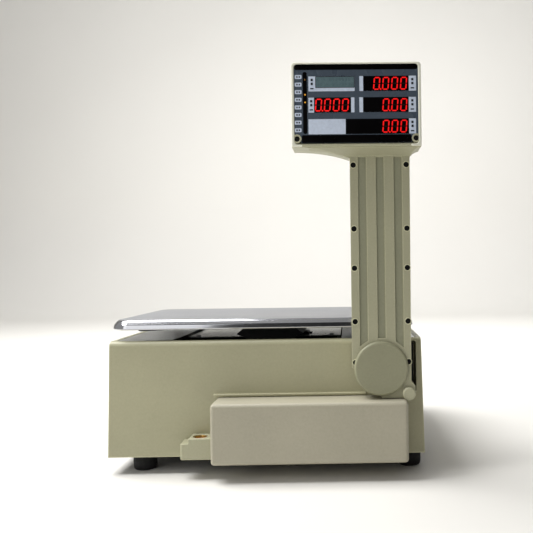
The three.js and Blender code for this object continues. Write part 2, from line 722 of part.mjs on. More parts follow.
add("column", "display_front_shell", displayFrontShell(), columnPlastic);
add("column", "display_back_shell", displayBackShell(), columnPlastic);
add("column", "hinge_cap", hingeCap(), columnPlastic);
add("column", "hinge_bush", hingeBush(), brass);
add("column", "column_stiffener", block(124, 162, -13, -10, 165, 440), steel);
add("column", "customer_window", customerWindow(), glass);
add("column", "operator_window", operatorWindow(), glass);
add("column", "display_board", displayBoard(), board);
add("column", "operator_board", block(53, 183, -18, -18 + BOARD.thick, 418, 494), board);
add("column", "lcd_module", module(LCD_PANEL, 7), lcdGrey);
LED_PANELS.forEach((panel, index) => {
  add("column", `led_module_${index + 1}`, module(panel, 7.5), ledRed);
});
add("column", "operator_module", block(63, 173, -16, -7, 440, 478), lcdGrey);
add("column", "signal_cable", block(166, 169, -18, -10, 150, 405), blackPlastic);

// ---------------------------------------------------------------- lock knob
function lockKnob() {
  const y1 = COLUMN.front - GAP;
  const knob = bar("y", KNOB.r, KNOB.front, y1, [KNOB.x, KNOB.z], 32);
  return cut(knob, bar("y", 3 + GAP, y1 - 3, y1 + 1, [KNOB.x, KNOB.z], 20));
}

function lockScrew() {
  return bar("y", 3, COLUMN.front - 3, COLUMN.back + 0.5, [KNOB.x, KNOB.z], 20);
}

add("lock", "lock_knob", lockKnob(), columnPlastic);
add("lock", "lock_screw", lockScrew(), steel);

// ---------------------------------------------------------------- levelling feet
FEET.forEach(([x, y], index) => {
  const pad = join(
    bar("z", FOOT.tip, 0, 3, [0, 0], 28, FOOT.r - 1),
    bar("z", FOOT.r - 1, 3, 7, [0, 0], 28, FOOT.r),
    bar("z", FOOT.r, 7, FOOT.height, [0, 0], 28),
    bar("z", FOOT.stud, FOOT.height - 1, FOOT.studTop, [0, 0], 12),
  );
  add("feet", `foot_${index + 1}`, pad, rubber, [x, y, 0]);
});

export default scale;
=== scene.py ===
# Looks of the retail price scale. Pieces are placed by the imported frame's boxes and coordinates.
# Lengths in this script are millimetres from the housing's customer-side face; M turns them into metres.
import math

import bmesh
import bpy
from mathutils import Matrix, Vector


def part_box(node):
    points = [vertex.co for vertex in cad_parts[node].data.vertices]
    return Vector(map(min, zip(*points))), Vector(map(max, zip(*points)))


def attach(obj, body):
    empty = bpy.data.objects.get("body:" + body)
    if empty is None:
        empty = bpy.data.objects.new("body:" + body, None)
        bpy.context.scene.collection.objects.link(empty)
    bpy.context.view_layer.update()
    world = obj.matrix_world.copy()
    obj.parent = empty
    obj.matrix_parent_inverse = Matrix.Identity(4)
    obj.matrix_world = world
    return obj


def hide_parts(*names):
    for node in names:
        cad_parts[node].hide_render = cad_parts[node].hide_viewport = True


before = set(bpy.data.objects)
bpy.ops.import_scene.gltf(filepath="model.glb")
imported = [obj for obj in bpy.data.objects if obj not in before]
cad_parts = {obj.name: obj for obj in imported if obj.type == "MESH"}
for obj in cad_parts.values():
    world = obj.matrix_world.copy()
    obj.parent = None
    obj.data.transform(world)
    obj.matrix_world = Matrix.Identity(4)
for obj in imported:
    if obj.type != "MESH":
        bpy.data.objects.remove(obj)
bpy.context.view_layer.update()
scene = bpy.context.scene

M = 0.001
HOUSING_DEPTH = 350.0
FACE_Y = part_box("upper_housing")[1].y / M - HOUSING_DEPTH  # the housing's customer-side face


def span(node):
    """A node's box as (x0, x1, y0, y1, z0, z1), in millimetres from the housing's face."""
    lo, hi = (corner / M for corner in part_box(node))
    return lo.x, hi.x, lo.y - FACE_Y, hi.y - FACE_Y, lo.z, hi.z


def place(x, y, z):
    return Vector((x, y + FACE_Y, z)) * M


# ---- camera
CAMERA_AT = (104.9, -835.9, 258.5)
CAMERA_YAW = math.radians(-0.91)
CAMERA_PITCH = math.radians(0.04)
CAMERA_ROLL = math.radians(0.73)
CAMERA_LENS = 44.55
CAMERA_SHIFT = -0.1718  # the photographed frame lies to the left of the lens's axis


def make_camera():
    data = bpy.data.cameras.new("camera")
    data.lens, data.shift_x = CAMERA_LENS, CAMERA_SHIFT
    data.clip_end = 100
    camera = bpy.data.objects.new("camera", data)
    scene.collection.objects.link(camera)
    upright = Matrix.Rotation(math.pi / 2, 4, "X")
    turn = (
        Matrix.Rotation(CAMERA_YAW, 4, "Z")
        @ Matrix.Rotation(CAMERA_PITCH, 4, "X")
        @ Matrix.Rotation(CAMERA_ROLL, 4, "Y")
    )
    camera.matrix_world = Matrix.Translation(place(*CAMERA_AT)) @ turn @ upright
    scene.camera = camera


make_camera()


# ---- materials
def srgb(red, green, blue):
    """A linear colour from the 0 to 255 values a screen shows."""

    def linear(value):
        v = value / 255
        return v / 12.92 if v <= 0.04045 else ((v + 0.055) / 1.055) ** 2.4

    return (linear(red), linear(green), linear(blue), 1.0)


def shaded(colour, factor):
    return tuple(channel * factor for channel in colour[:3]) + (1.0,)


class Nodes:
    """A material's node tree, with short ways to add and link nodes."""

    def __init__(self, name):
        self.material = bpy.data.materials.new(name)
        self.material.use_nodes = True
        self.tree = self.material.node_tree
        self.shader = self.tree.nodes["Principled BSDF"]
        self.coordinates = self.tree.nodes.new("ShaderNodeTexCoord").outputs["Object"]

    def add(self, kind, inputs=None, **values):
        """Adds a node; its inputs are numbers, colours or other nodes' outputs."""
        node = self.tree.nodes.new("ShaderNode" + kind)
        for name, value in values.items():
            setattr(node, name, value)
        for name, value in (inputs or {}).items():
            if isinstance(value, bpy.types.NodeSocket):
                self.tree.links.new(value, node.inputs[name])
            else:
                node.inputs[name].default_value = value
        return node

    def surface(self, colour, roughness=None, normal=None):
        """Links the shader's colour, and its roughness and bumped normal if they are given."""
        for name, output in (("Base Color", colour), ("Roughness", roughness), ("Normal", normal)):
            if output is not None:
                self.tree.links.new(output, self.shader.inputs[name])
        return self.material

    def set(self, **values):
        """Sets the shader's own inputs; a name's underscores stand for spaces."""
        for name, value in values.items():
            self.shader.inputs[name.replace("_", " ")].default_value = value

    def noise(self, scale, detail=3.0, stretch=(1, 1, 1)):
        mapping = self.add("Mapping", {"Vector": self.coordinates, "Scale": stretch})
        inputs = {"Vector": mapping.outputs["Vector"], "Scale": scale, "Detail": detail}
        return self.add("TexNoise", inputs).outputs["Fac"]

    def cells(self, scale):
        inputs = {"Vector": self.coordinates, "Scale": scale}
        return self.add("TexVoronoi", inputs).outputs["Distance"]

    def ramp(self, factor, low, high, start=0.3, end=0.7):
        """Maps a texture's value onto two colours."""
        node = self.add("ValToRGB", {"Fac": factor})
        for element, position, colour in zip(node.color_ramp.elements, (start, end), (low, high)):
            element.position, element.color = position, colour
        return node.outputs["Color"]

    def shades(self, factor, colour, low, high):
        """Maps a texture's value onto a darker and a lighter shade of a colour."""
        return self.ramp(factor, shaded(colour, low), shaded(colour, high))

    def mapped(self, factor, low, high):
        """Maps a texture's value onto a number."""
        inputs = {"Value": factor, "From Min": 0.3, "From Max": 0.7, "To Min": low, "To Max": high}
        return self.add("MapRange", inputs).outputs["Result"]

    def mixed(self, factor, first, second, blend="MIX"):
        inputs = {"Factor": factor, "A": first, "B": second}
        return self.add("Mix", inputs, data_type="RGBA", blend_type=blend).outputs["Result"]

    def bump(self, height, distance, strength=1.0, before=None):
        inputs = {"Height": height, "Distance": distance * M, "Strength": strength}
        if before is not None:
            inputs["Normal"] = before
        return self.add("Bump", inputs).outputs["Normal"]

    def edges(self, radius):
        """1 where the surface turns within that many millimetres, 0 on flat surfaces."""
        turning = self.add("Bevel", {"Radius": radius * M}, samples=4).outputs["Normal"]
        flat = self.add("NewGeometry").outputs["True Normal"]
        likeness = self.add("VectorMath", {0: turning, 1: flat}, operation="DOT_PRODUCT")
        return self.ramp(likeness.outputs["Value"], WHITE, BLACK, 0.86, 0.985)

    def upward(self):
        """1 on faces that look straight up, 0 on all others."""
        normal = self.add("NewGeometry").outputs["Normal"]
        height = self.add("SeparateXYZ", {0: normal}).outputs["Z"]
        return self.ramp(height, BLACK, WHITE, 0.93, 0.99)


WHITE, BLACK = (1.0, 1.0, 1.0, 1.0), (0.0, 0.0, 0.0, 1.0)


def moulded_plastic(name, colour, roughness=0.48, grain=1.0, edge_wear_and_highlight=1.1):
    """ABS with a spark-eroded grain, faint flow marks, and edges painted paler: partly rubbing from use,
    partly a painted highlight.
    """
    n = Nodes(name)
    tone = n.shades(n.noise(7, 4), colour, 0.93, 1.05)
    fine = n.shades(n.noise(420, 2), WHITE, 0.93, 1.05)
    speckled = n.mixed(n.noise(60, 2), tone, fine, "MULTIPLY")
    # Paler edges: partly worn by rubbing, partly a painted highlight where rounded edges catch the light.
    rubbed_and_highlit = n.mixed(n.edges(edge_wear_and_highlight), speckled, shaded(colour, 1.5))
    coarse = n.bump(n.noise(900, 3), 0.05 * grain, 0.5)
    grained = n.bump(n.cells(1500), 0.035 * grain, 0.5, coarse)
    return n.surface(rubbed_and_highlit, n.mapped(n.noise(24, 5), roughness - 0.06, roughness + 0.08), grained)


def brushed_metal(name, colour, roughness=0.2, along=(3, 260, 260), bump=0.004, level=None):
    """Steel with fine lines along one axis and a few broad smears; level faces may be painted darker, a
    painted shade that dulls their reflection, and rougher.
    """
    n = Nodes(name)
    lines = n.noise(9, 6, along)
    tone = n.shades(lines, colour, 0.9, 1.06)
    rough = n.mapped(lines, roughness * 0.8, roughness * 1.25)
    if level is not None:
        upward = n.upward()
        # Level faces are painted darker: a painted shade that dulls their reflection.
        tone = n.mixed(upward, tone, n.shades(lines, colour, 0.7, 0.88))
        rough = n.mixed(upward, shaded(WHITE, roughness), shaded(WHITE, level))
    smears = n.mapped(n.noise(5, 3), 0.85, 1.2)
    smeared = n.add("Math", {0: rough, 1: smears}, operation="MULTIPLY")
    n.set(Metallic=1.0)
    return n.surface(tone, smeared.outputs[0], n.bump(lines, bump, 0.35))


def powder_coat(name, colour, roughness=0.5):
    """Sprayed paint with orange-peel texture."""
    n = Nodes(name)
    rough = n.mapped(n.noise(90, 3), roughness - 0.08, roughness + 0.1)
    return n.surface(n.shades(n.noise(40, 4), colour, 0.8, 1.5), rough, n.bump(n.noise(700, 3), 0.08, 0.7))


def soft_rubber(name, colour):
    """Rubber with a dusty bloom and fine pits."""
    n = Nodes(name)
    dust = n.ramp(n.noise(55, 6), colour, shaded(colour, 2.2), 0.5, 0.8)
    return n.surface(dust, n.mapped(n.noise(120, 3), 0.6, 0.85), n.bump(n.noise(1400, 2), 0.05, 0.7))


def printed_film(name, colour, roughness=0.28, gloss=0.35):
    """Ink on the back of a clear film: even, with a little sheen and faint print grain."""
    n = Nodes(name)
    n.set(Specular_IOR_Level=gloss)
    tone = n.shades(n.noise(300, 3), colour, 0.94, 1.05)
    rough = n.mapped(n.noise(30, 3), roughness - 0.05, roughness + 0.07)
    return n.surface(tone, rough, n.bump(n.noise(220, 3), 0.01, 0.3))


def lit(name, colour, strength):
    """A lamp or segment that shines, a little uneven like a real light guide."""
    n = Nodes(name)
    glow = n.shades(n.noise(500, 2), colour, 0.85, 1)
    n.tree.links.new(glow, n.shader.inputs["Emission Color"])
    n.set(Base_Color=shaded(colour, 0.3), Emission_Strength=strength, Roughness=0.4)
    return n.material


def circuit_board(name):
    """Green solder mask over copper tracks."""
    n = Nodes(name)
    mask = {"Color1": srgb(18, 74, 40), "Color2": srgb(24, 88, 50), "Mortar": srgb(60, 130, 70)}
    inputs = {"Vector": n.coordinates, "Scale": 190, "Mortar Size": 0.03, **mask}
    tracks = n.add("TexBrick", inputs)
    rough = n.mapped(n.noise(80, 2), 0.3, 0.5)
    return n.surface(tracks.outputs["Color"], rough, n.bump(tracks.outputs["Fac"], 0.05, 0.4))


def tinted_glass(name, colour):
    n = Nodes(name)
    n.set(Transmission_Weight=0.9)
    rough = n.mapped(n.noise(30, 2), 0.03, 0.09)
    return n.surface(n.shades(n.noise(12, 2), colour, 0.85, 1), rough)


BEIGE = srgb(168, 165, 136)
# The housing's wide pale edges are a painted highlight along its top lip.
HOUSING = moulded_plastic("housing_plastic", BEIGE, 0.4, edge_wear_and_highlight=3.0)
PEDESTAL = moulded_plastic("pedestal_plastic", srgb(171, 166, 147), 0.5)
ARM = moulded_plastic("arm_plastic", srgb(170, 168, 141), 0.46, edge_wear_and_highlight=1.6)
BLACK_ABS = moulded_plastic("black_plastic", srgb(22, 22, 23), 0.42)
# Near black that stands for shade: a painted shade in the well, and a painted shadow in the gap along the
# lip.
SHADE_BLACK = moulded_plastic("shade_black_plastic", srgb(14, 14, 15), 0.7)
KEY_FILM = printed_film("keyboard_film", srgb(92, 98, 104), 0.42)
STEEL = brushed_metal("zinc_steel", srgb(168, 170, 172), 0.36, (200, 200, 4), 0.01)
# The platter's level top gets the painted shade and a rougher finish.
MIRROR = brushed_metal("platter_steel", srgb(184, 185, 189), 0.13, (2, 330, 330), 0.0012, level=0.5)
DECK_STEEL = brushed_metal("deck_steel", srgb(205, 206, 204), 0.32, (3, 300, 300), 0.002)
COVER = brushed_metal("cover_steel", srgb(190, 190, 186), 0.3, (330, 3, 330), 0.003)
CASTING = powder_coat("casting_paint", srgb(17, 17, 18), 0.45)
RUBBER = soft_rubber("rubber", srgb(9, 9, 10))
BOARD = circuit_board("circuit_board")
BRASS = brushed_metal("brass", srgb(190, 150, 80), 0.3, (4, 200, 200))
PAPER = soft_rubber("label_paper", srgb(226, 222, 210))
# Near black: the screws are a painted shade that stands for the dark of deep screw holes.
SCREW_SHADE_BLACK = powder_coat("screw_shade_black", srgb(5, 5, 5), 0.8)


# ---- shapes
# Shapes are bmeshes in millimetres, measured like span(); piece() moves them to the frame.
TO_FRAME = Matrix.Scale(M, 4) @ Matrix.Translation((0, FACE_Y, 0))
OVER = 1.0  # how far a cutter runs past the surface it opens


def arc(centre, radius, start, end, steps):
    """Points on an arc; the angles are in degrees."""
    angles = [math.radians(start + (end - start) * i / steps) for i in range(steps + 1)]
    return [(centre[0] + radius * math.cos(a), centre[1] + radius * math.sin(a)) for a in angles]


def quadratic(start, control, end, steps=16):
    points = []
    for i in range(steps + 1):
        t = i / steps
        a, b, c = (1 - t) ** 2, 2 * t * (1 - t), t * t
        points.append(tuple(a * start[k] + b * control[k] + c * end[k] for k in range(2)))
    return points


def wider(area, air):
    """An area (u0, u1, v0, v1) with that much air all round."""
    return area[0] - air, area[1] + air, area[2] - air, area[3] + air


def rounded(x0, x1, z0, z1, radius, steps=6):
    """A rectangle with round corners, counter-clockwise."""
    corners = (
        ((x1 - radius, z0 + radius), -90),
        ((x1 - radius, z1 - radius), 0),
        ((x0 + radius, z1 - radius), 90),
        ((x0 + radius, z0 + radius), 180),
    )
    return [p for centre, start in corners for p in arc(centre, radius, start, start + 90, steps)]


def filleted(corners, steps=6):
    """An outline from (u, v, radius) corners, each corner rounded to its radius."""
    points = []
    for index, (u, v, radius) in enumerate(corners):
        here = Vector((u, v))
        before = Vector(corners[index - 1][:2])
        after = Vector(corners[(index + 1) % len(corners)][:2])
        if radius == 0:
            points.append((u, v))
            continue
        inward, outward = (before - here).normalized(), (after - here).normalized()
        half = inward.angle(outward) / 2
        reach = radius / math.tan(half)
        centre = here + (inward + outward).normalized() * radius / math.sin(half)
        first, last = here + inward * reach - centre, here + outward * reach - centre
        sweep = first.angle_signed(last)
        for i in range(steps + 1):
            turned = Matrix.Rotation(-sweep * i / steps, 2) @ first
            points.append(tuple(centre + turned))
    return points


AXES = {"x": (1, 2, 0), "y": (0, 2, 1), "z": (0, 1, 2)}


def prism(axis, outline, start, end):
    """An outline in the axis's other two coordinates, drawn out along the axis."""
    shape = bmesh.new()
    first, second, along = AXES[axis]
    rings = []
    for level in (start, end):
        ring = []
        for u, v in outline:
            point = [0.0, 0.0, 0.0]
            point[first], point[second], point[along] = u, v, level
            ring.append(shape.verts.new(point))
        rings.append(ring)
    shape.faces.new(rings[0])
    shape.faces.new(rings[1])
    for i in range(len(outline)):
        j = (i + 1) % len(outline)
        shape.faces.new((rings[0][i], rings[0][j], rings[1][j], rings[1][i]))
    bmesh.ops.recalc_face_normals(shape, faces=shape.faces)
    return shape


def block(x0, x1, y0, y1, z0, z1):
    return prism("z", [(x0, y0), (x1, y0), (x1, y1), (x0, y1)], z0, z1)


def rod(axis, radius, start, end, centre, sides=48):
    return prism(axis, arc(centre, radius, 0, 360 * (sides - 1) / sides, sides - 1), start, end)


def lathe(axis, profile, centre, steps=64, base=0.0, ring=False):
    """Turns a profile of (radius, height over base) about an axis; a ring's is a closed loop."""
    shape = bmesh.new()
    first, second, along = AXES[axis]
    loops = []
    for radius, height in profile:
        loop = []
        for i in range(1 if radius == 0 else steps):
            angle = 2 * math.pi * i / steps
            point = [0.0, 0.0, 0.0]
            point[first] = centre[0] + radius * math.cos(angle)
            point[second] = centre[1] + radius * math.sin(angle)
            point[along] = base + height
            loop.append(shape.verts.new(point))
        loops.append(loop)
    ends = [loop for loop in (loops[0], loops[-1]) if len(loop) > 1 and not ring]
    if ring:
        loops.append(loops[0])
    for low, high in zip(loops, loops[1:]):
        for i in range(steps):
            j = (i + 1) % steps
            around = (low[i % len(low)], low[j % len(low)], high[j % len(high)], high[i % len(high)])
            corners = list(dict.fromkeys(around))
            if len(corners) > 2:
                shape.faces.new(corners)
    for loop in ends:
        shape.faces.new(loop)
    bmesh.ops.recalc_face_normals(shape, faces=shape.faces)
    return shape


def round_edges(shape, size, segments, chosen):
    """Rounds the edges that the given test picks."""
    edges = [edge for edge in shape.edges if chosen(edge)]
    bmesh.ops.bevel(
        shape, geom=edges, offset=size, segments=segments, profile=0.5, affect="EDGES", clamp_overlap=True
    )
    return shape


def turned(shape, matrix):
    shape.transform(matrix)
    return shape


def lying_on(*planes):
    """A test for edges that lie in one of the planes, each an axis (0 for X) and its level."""
    def test(edge):
        return any(all(abs(v.co[axis] - level) < 0.01 for v in edge.verts) for axis, level in planes)

    return test


def together(*shapes):
    """Several separate shapes in one mesh."""
    whole = bmesh.new()
    for shape in shapes:
        carrier = bpy.data.meshes.new("carrier")
        shape.to_mesh(carrier)
        shape.free()
        whole.from_mesh(carrier)
        bpy.data.meshes.remove(carrier)
    return whole


def as_object(name, shape):
    """A new object with the shape as its mesh; the shape is used up."""
    mesh = bpy.data.meshes.new(name)
    shape.to_mesh(mesh)
    shape.free()
    obj = bpy.data.objects.new(name, mesh)
    scene.collection.objects.link(obj)
    return obj


def boolean(operation, shape, tools):
    helpers = [as_object("helper", source) for source in (shape, *tools)]
    for tool in helpers[1:]:
        modifier = helpers[0].modifiers.new("boolean", "BOOLEAN")
        modifier.operation, modifier.solver, modifier.object = operation, "EXACT", tool
    baked = bpy.data.meshes.new_from_object(helpers[0].evaluated_get(bpy.context.evaluated_depsgraph_get()))
    result = bmesh.new()
    result.from_mesh(baked)
    bmesh.ops.remove_doubles(result, verts=result.verts, dist=0.002)
    bmesh.ops.dissolve_limit(result, angle_limit=0.002, verts=result.verts, edges=result.edges)
    bpy.data.meshes.remove(baked)
    for helper in helpers:
        mesh = helper.data
        bpy.data.objects.remove(helper)
        bpy.data.meshes.remove(mesh)
    return result


def cut(shape, *tools):
    return boolean("DIFFERENCE", shape, tools)


def join(shape, *others):
    return boolean("UNION", shape, others)


def common(shape, other):
    return boolean("INTERSECT", shape, [other])


def bevelled(obj, edge, segments, angle):
    bevel = obj.modifiers.new("bevel", "BEVEL")
    bevel.width, bevel.segments = edge * M, segments
    bevel.limit_method, bevel.angle_limit = "ANGLE", math.radians(angle)
    return bevel


def smooth(obj, edge=0.0, segments=3, angle=35):
    """Rounds the sharp edges by a bevel of that size, and shades the rest smoothly."""
    mesh = obj.data
    for polygon in mesh.polygons:
        polygon.use_smooth = True
    mesh.set_sharp_from_angle(angle=math.radians(angle))
    if edge:
        bevelled(obj, edge, segments, angle).miter_outer = "MITER_ARC"
    weights = obj.modifiers.new("normals", "WEIGHTED_NORMAL")
    weights.keep_sharp = True
    return obj


def piece(name, shape, look, body, slot=None, replaces=(), edge=0.0, segments=3, angle=35):
    """Makes a shape into a piece that rides on a body."""
    obj = as_object(name, turned(shape, TO_FRAME))
    obj.data.materials.append(look)
    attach(obj, body)
    if replaces:
        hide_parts(*replaces)
    return smooth(obj, edge, segments, angle)


def dress(node, look):
    """Gives a CAD node its material and small round edges."""
    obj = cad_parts[node]
    if obj.material_slots:
        obj.material_slots[0].material = look
    else:
        obj.data.materials.append(look)
    bevelled(obj, 0.12, 2, 35)


# ---- housing
WALL = 3.0
GAP = 0.3
HOUSING_FLOOR, HOUSING_TOP = span("upper_housing")[4:]
HALF_WIDTH = 200.0
DRAFT = 0.00011  # how much narrower the housing gets per millimetre of height
SLOPE_START, SLOPE_END = 250.0, 100.0  # where the operator's slope starts in Y and ends in Z
HOUSING_EDGE = 6.5
DECK = span("deck_tray")
WELL = (-122.0, 96.0, 11.0, 225.0)
WELL_FLOOR = 150.0
BOX = span("pedestal_housing")
POCKET = (127.0, 190.5, 99.5, 164.3)
POCKET_BACK = 28.0
BEAD_FRONT = -2.6
TOP_WALL, LEFT_WALL, RIGHT_WALL, REAR_WALL = (166, 170), (-210, -190), (190, 210), (340, 360)
PASSAGE = (-30, 30, -1, 6, 40, 60)  # the cable's way into the box
HINGE = (144.8, 133.6)


def housing_outline(inset, radius):
    slope = (HOUSING_TOP - SLOPE_END) / (HOUSING_DEPTH - SLOPE_START)
    start = SLOPE_START - inset * 0.3
    rear = HOUSING_DEPTH - inset
    top = HOUSING_TOP - inset
    return filleted(
        [
            (inset, HOUSING_FLOOR, 0),
            (inset, top, radius),
            (start, top, radius),
            (rear, top - slope * (rear - start), radius),
            (rear, HOUSING_FLOOR, 0),
        ]
    )


def drafted(shape):
    for vertex in shape.verts:
        vertex.co.x *= 1 - DRAFT * (vertex.co.z - HOUSING_FLOOR)
    return shape


def housing_body():
    """The outside of the housing, its side edges and upright corners rounded."""
    body = prism("x", housing_outline(0, HOUSING_EDGE), -HALF_WIDTH, HALF_WIDTH)

    def on_side(edge):
        flat = all(abs(abs(v.co.x) - HALF_WIDTH) < 0.01 for v in edge.verts)
        return flat and not all(abs(v.co.z - HOUSING_FLOOR) < 0.01 for v in edge.verts)

    return drafted(round_edges(body, HOUSING_EDGE, 5, on_side))


def console_turn():
    """From a box drawn level to the operator's slope."""
    fall = math.atan2(HOUSING_TOP - SLOPE_END, HOUSING_DEPTH - SLOPE_START)
    return Matrix.Translation((0, SLOPE_START, HOUSING_TOP)) @ Matrix.Rotation(-fall, 4, "X")


KEYBOARD = (-165.0, 165.0, 10.0, 110.0)
KEYBOARD_DEPTH = 1.2


def wall_hole(wall, node, air=GAP):
    """A cutter through one side's wall, the node's size with air round it."""
    return block(*wall, *wider(span(node)[2:], air))


def make_housing():
    """The hollow shell, with the arm's pocket, a bead over the box, and all the openings."""
    inside = prism("x", housing_outline(WALL, 4), -HALF_WIDTH + WALL, HALF_WIDTH - WALL)
    inside.transform(Matrix.Translation((0, 0, -OVER)))
    shell = cut(housing_body(), drafted(inside))
    left, right, bottom, top = POCKET
    backing = block(left - WALL, right + WALL, 1, POCKET_BACK + WALL, bottom - WALL, HOUSING_TOP - 1)
    bead = block(BOX[0] - 3.4, left - GAP, BEAD_FRONT, 1, BOX[5] + 1, BOX[5] + 4.4)
    bead = round_edges(bead, 1.4, 3, lying_on((1, BEAD_FRONT)))
    whole = join(shell, backing, bead)
    slot_left, slot_right = span("tear_bar")[:2]
    openings = [
        prism("y", rounded(left, right, bottom, top, 3), -OVER, POCKET_BACK),
        prism("z", rounded(*wider(DECK[:4], GAP), 4), *TOP_WALL),
        block(*wider(WELL, 2), 160, 170),
        turned(block(*KEYBOARD, -KEYBOARD_DEPTH, 5), console_turn()),
        wall_hole(LEFT_WALL, "printer_door", 0.4),
        block(slot_left + 2, slot_right - 2, *REAR_WALL, 72, 80),
        *[wall_hole(RIGHT_WALL, node) for node in ("power_inlet", "switch_frame", "data_port")],
        block(*PASSAGE),
    ]
    piece("housing", cut(whole, *openings), HOUSING, "base", "housing_plastic", ["upper_housing"], edge=0.5)


def make_pedestal():
    """The flat box in front of the housing, open at the back."""
    left, right, front, back, bottom, top = BOX
    box = block(left, right, front, back, bottom, top)
    box = round_edges(box, 4.5, 5, lying_on((0, left), (0, right), (1, front)))
    hollow = block(left + WALL, right - WALL, front + WALL, back + 5, bottom + WALL, top - WALL)
    piece("pedestal", cut(box, hollow), PEDESTAL, "base", "housing_plastic", ["pedestal_housing"], edge=0.4)


make_housing()
make_pedestal()


# ---- deck, well and platter
SHEET = 1.5
DECK_UNDER = 166.3
LIP = 8.2  # the well's opening starts this far behind the housing's face
WEDGE_LEFT = -154.0  # a shadow gap runs on from the well along the lip to here
STEM = (34.0, 130.0)
STEM_HOLE = 24.0
LINER = 1.4  # the well liner's wall
LEG = 3.0


def make_deck():
    """The steel deck sheet, the well in it with a near-black liner as a painted shade, and a black film
    under the gap along the well's edge as a painted shadow.
    """
    left, right, front, back = DECK[:4]
    top = DECK_UNDER + SHEET
    well_left, well_right, well_front, well_back = WELL
    sheet = prism("z", rounded(left, right, front, back, 4), DECK_UNDER, top)
    outline = [(WEDGE_LEFT, LIP), (well_right, LIP), (well_right, well_back), (well_left, well_back)]
    outline += [(well_left, well_front + 7), (WEDGE_LEFT, LIP + 3.5)]
    opening = prism("z", outline, DECK_UNDER - OVER, top + OVER)
    piece("deck_sheet", cut(sheet, opening), DECK_STEEL, "base", "deck_sheet", ["deck_tray"], edge=0.45)

    outside = prism("z", rounded(*wider(WELL, LINER), 3), WELL_FLOOR - SHEET, DECK_UNDER - 0.02)
    inside = prism("z", rounded(*WELL, 2), WELL_FLOOR, HOUSING_TOP + OVER)
    stem_hole = rod("z", STEM_HOLE, WELL_FLOOR - 10, WELL_FLOOR + 5, STEM)
    # The liner is near black, a painted shade for the well.
    piece("well_liner", cut(outside, inside, stem_hole), SHADE_BLACK, "base", "black_plastic", edge=0.3)

    # The black film under the gap is a painted shadow.
    film = [(WEDGE_LEFT - 1.5, LIP - 0.8), (well_right + 1, LIP - 0.8), (well_right + 1, well_front - 1.8)]
    film += [(well_left - 1.8, well_front - 1.8), (well_left - 1.8, well_front + 8)]
    film.append((WEDGE_LEFT - 1.5, LIP + 4.5))
    shadow_film = prism("z", film, 166.03, DECK_UNDER - 0.03)
    piece("deck_shadow_film", shadow_film, SHADE_BLACK, "base", "black_rubber")


def make_cover():
    """The cell's cover on two legs, with a hole for the spider's stem and four slotted screws."""
    left, right, front, back, _, top = span("cell_cover")
    plate = prism("z", rounded(left, right, front, back, 3), top - SHEET, top)
    feet = (left + 2, right - 2 - LEG)
    legs = [block(x, x + LEG, front + 6, back - 6, WELL_FLOOR + GAP, top - 1) for x in feet]
    x, y = STEM
    hole = prism("z", rounded(x - 18, x + 18, y - 20, y + 20, 4), WELL_FLOOR - 10, top + 10)
    plate = cut(join(plate, *legs), hole)
    piece("cover_plate", plate, COVER, "base", "stainless", ["cell_cover"], edge=0.35)
    head_section = ((0, 0.1), (3.6, 0.1), (3.6, 0.8), (2.6, 1.5), (0, 1.6))
    corners = [(x, y) for y in (front + 10, back - 10) for x in (left + 13, right - 13)]
    for index, at in enumerate(corners, 1):
        head = lathe("z", head_section, at, 24, top)
        slot = block(at[0] - 2.2, at[0] + 2.2, at[1] - 0.35, at[1] + 0.35, top + 0.9, top + 3)
        piece(f"cover_screw_{index}", cut(head, slot), STEEL, "base", "steel", edge=0.1)


PLATTER = span("platter")
PLATTER_CORNER = 24.0


def pan_ring(inset):
    return rounded(*wider(PLATTER[:4], -inset), max(PLATTER_CORNER - inset, 1), 10)


def pan_profile():
    """The inverted pan's section as (inset, height), from the middle round the hem to the inside."""
    bottom, top = PLATTER[4:]
    outside = [(9.5, top, 0), (6.8, top, 0.5), (4.4, top - 1.6, 2), (1.1, top - 6, 5), (0, bottom + 1.4, 1)]
    hem = [(0.9, bottom, 0.7), (2.4, bottom, 0.6), (2.4, bottom + 2.2, 0.5), (1.9, bottom + 2.2, 0.2)]
    inside = [(2.2, top - 8.5, 5), (5.4, top - 3.2, 3), (9.5, top - SHEET, 0)]
    return filleted([*outside, *hem, *inside], 6)


def make_platter():
    """An inverted pan of folded sheet, from rings that follow its section."""
    shape = bmesh.new()
    rings = []
    for inset, height in pan_profile():
        rings.append([shape.verts.new((x, y, height)) for x, y in pan_ring(inset)])
    for upper, lower in zip(rings, rings[1:]):
        for i in range(len(upper)):
            j = (i + 1) % len(upper)
            shape.faces.new((upper[i], upper[j], lower[j], lower[i]))
    shape.faces.new(rings[0])
    shape.faces.new(rings[-1])
    bmesh.ops.recalc_face_normals(shape, faces=shape.faces)
    piece("platter_pan", shape, MIRROR, "platter", "stainless", ["platter"], angle=60)


make_deck()
make_cover()
make_platter()


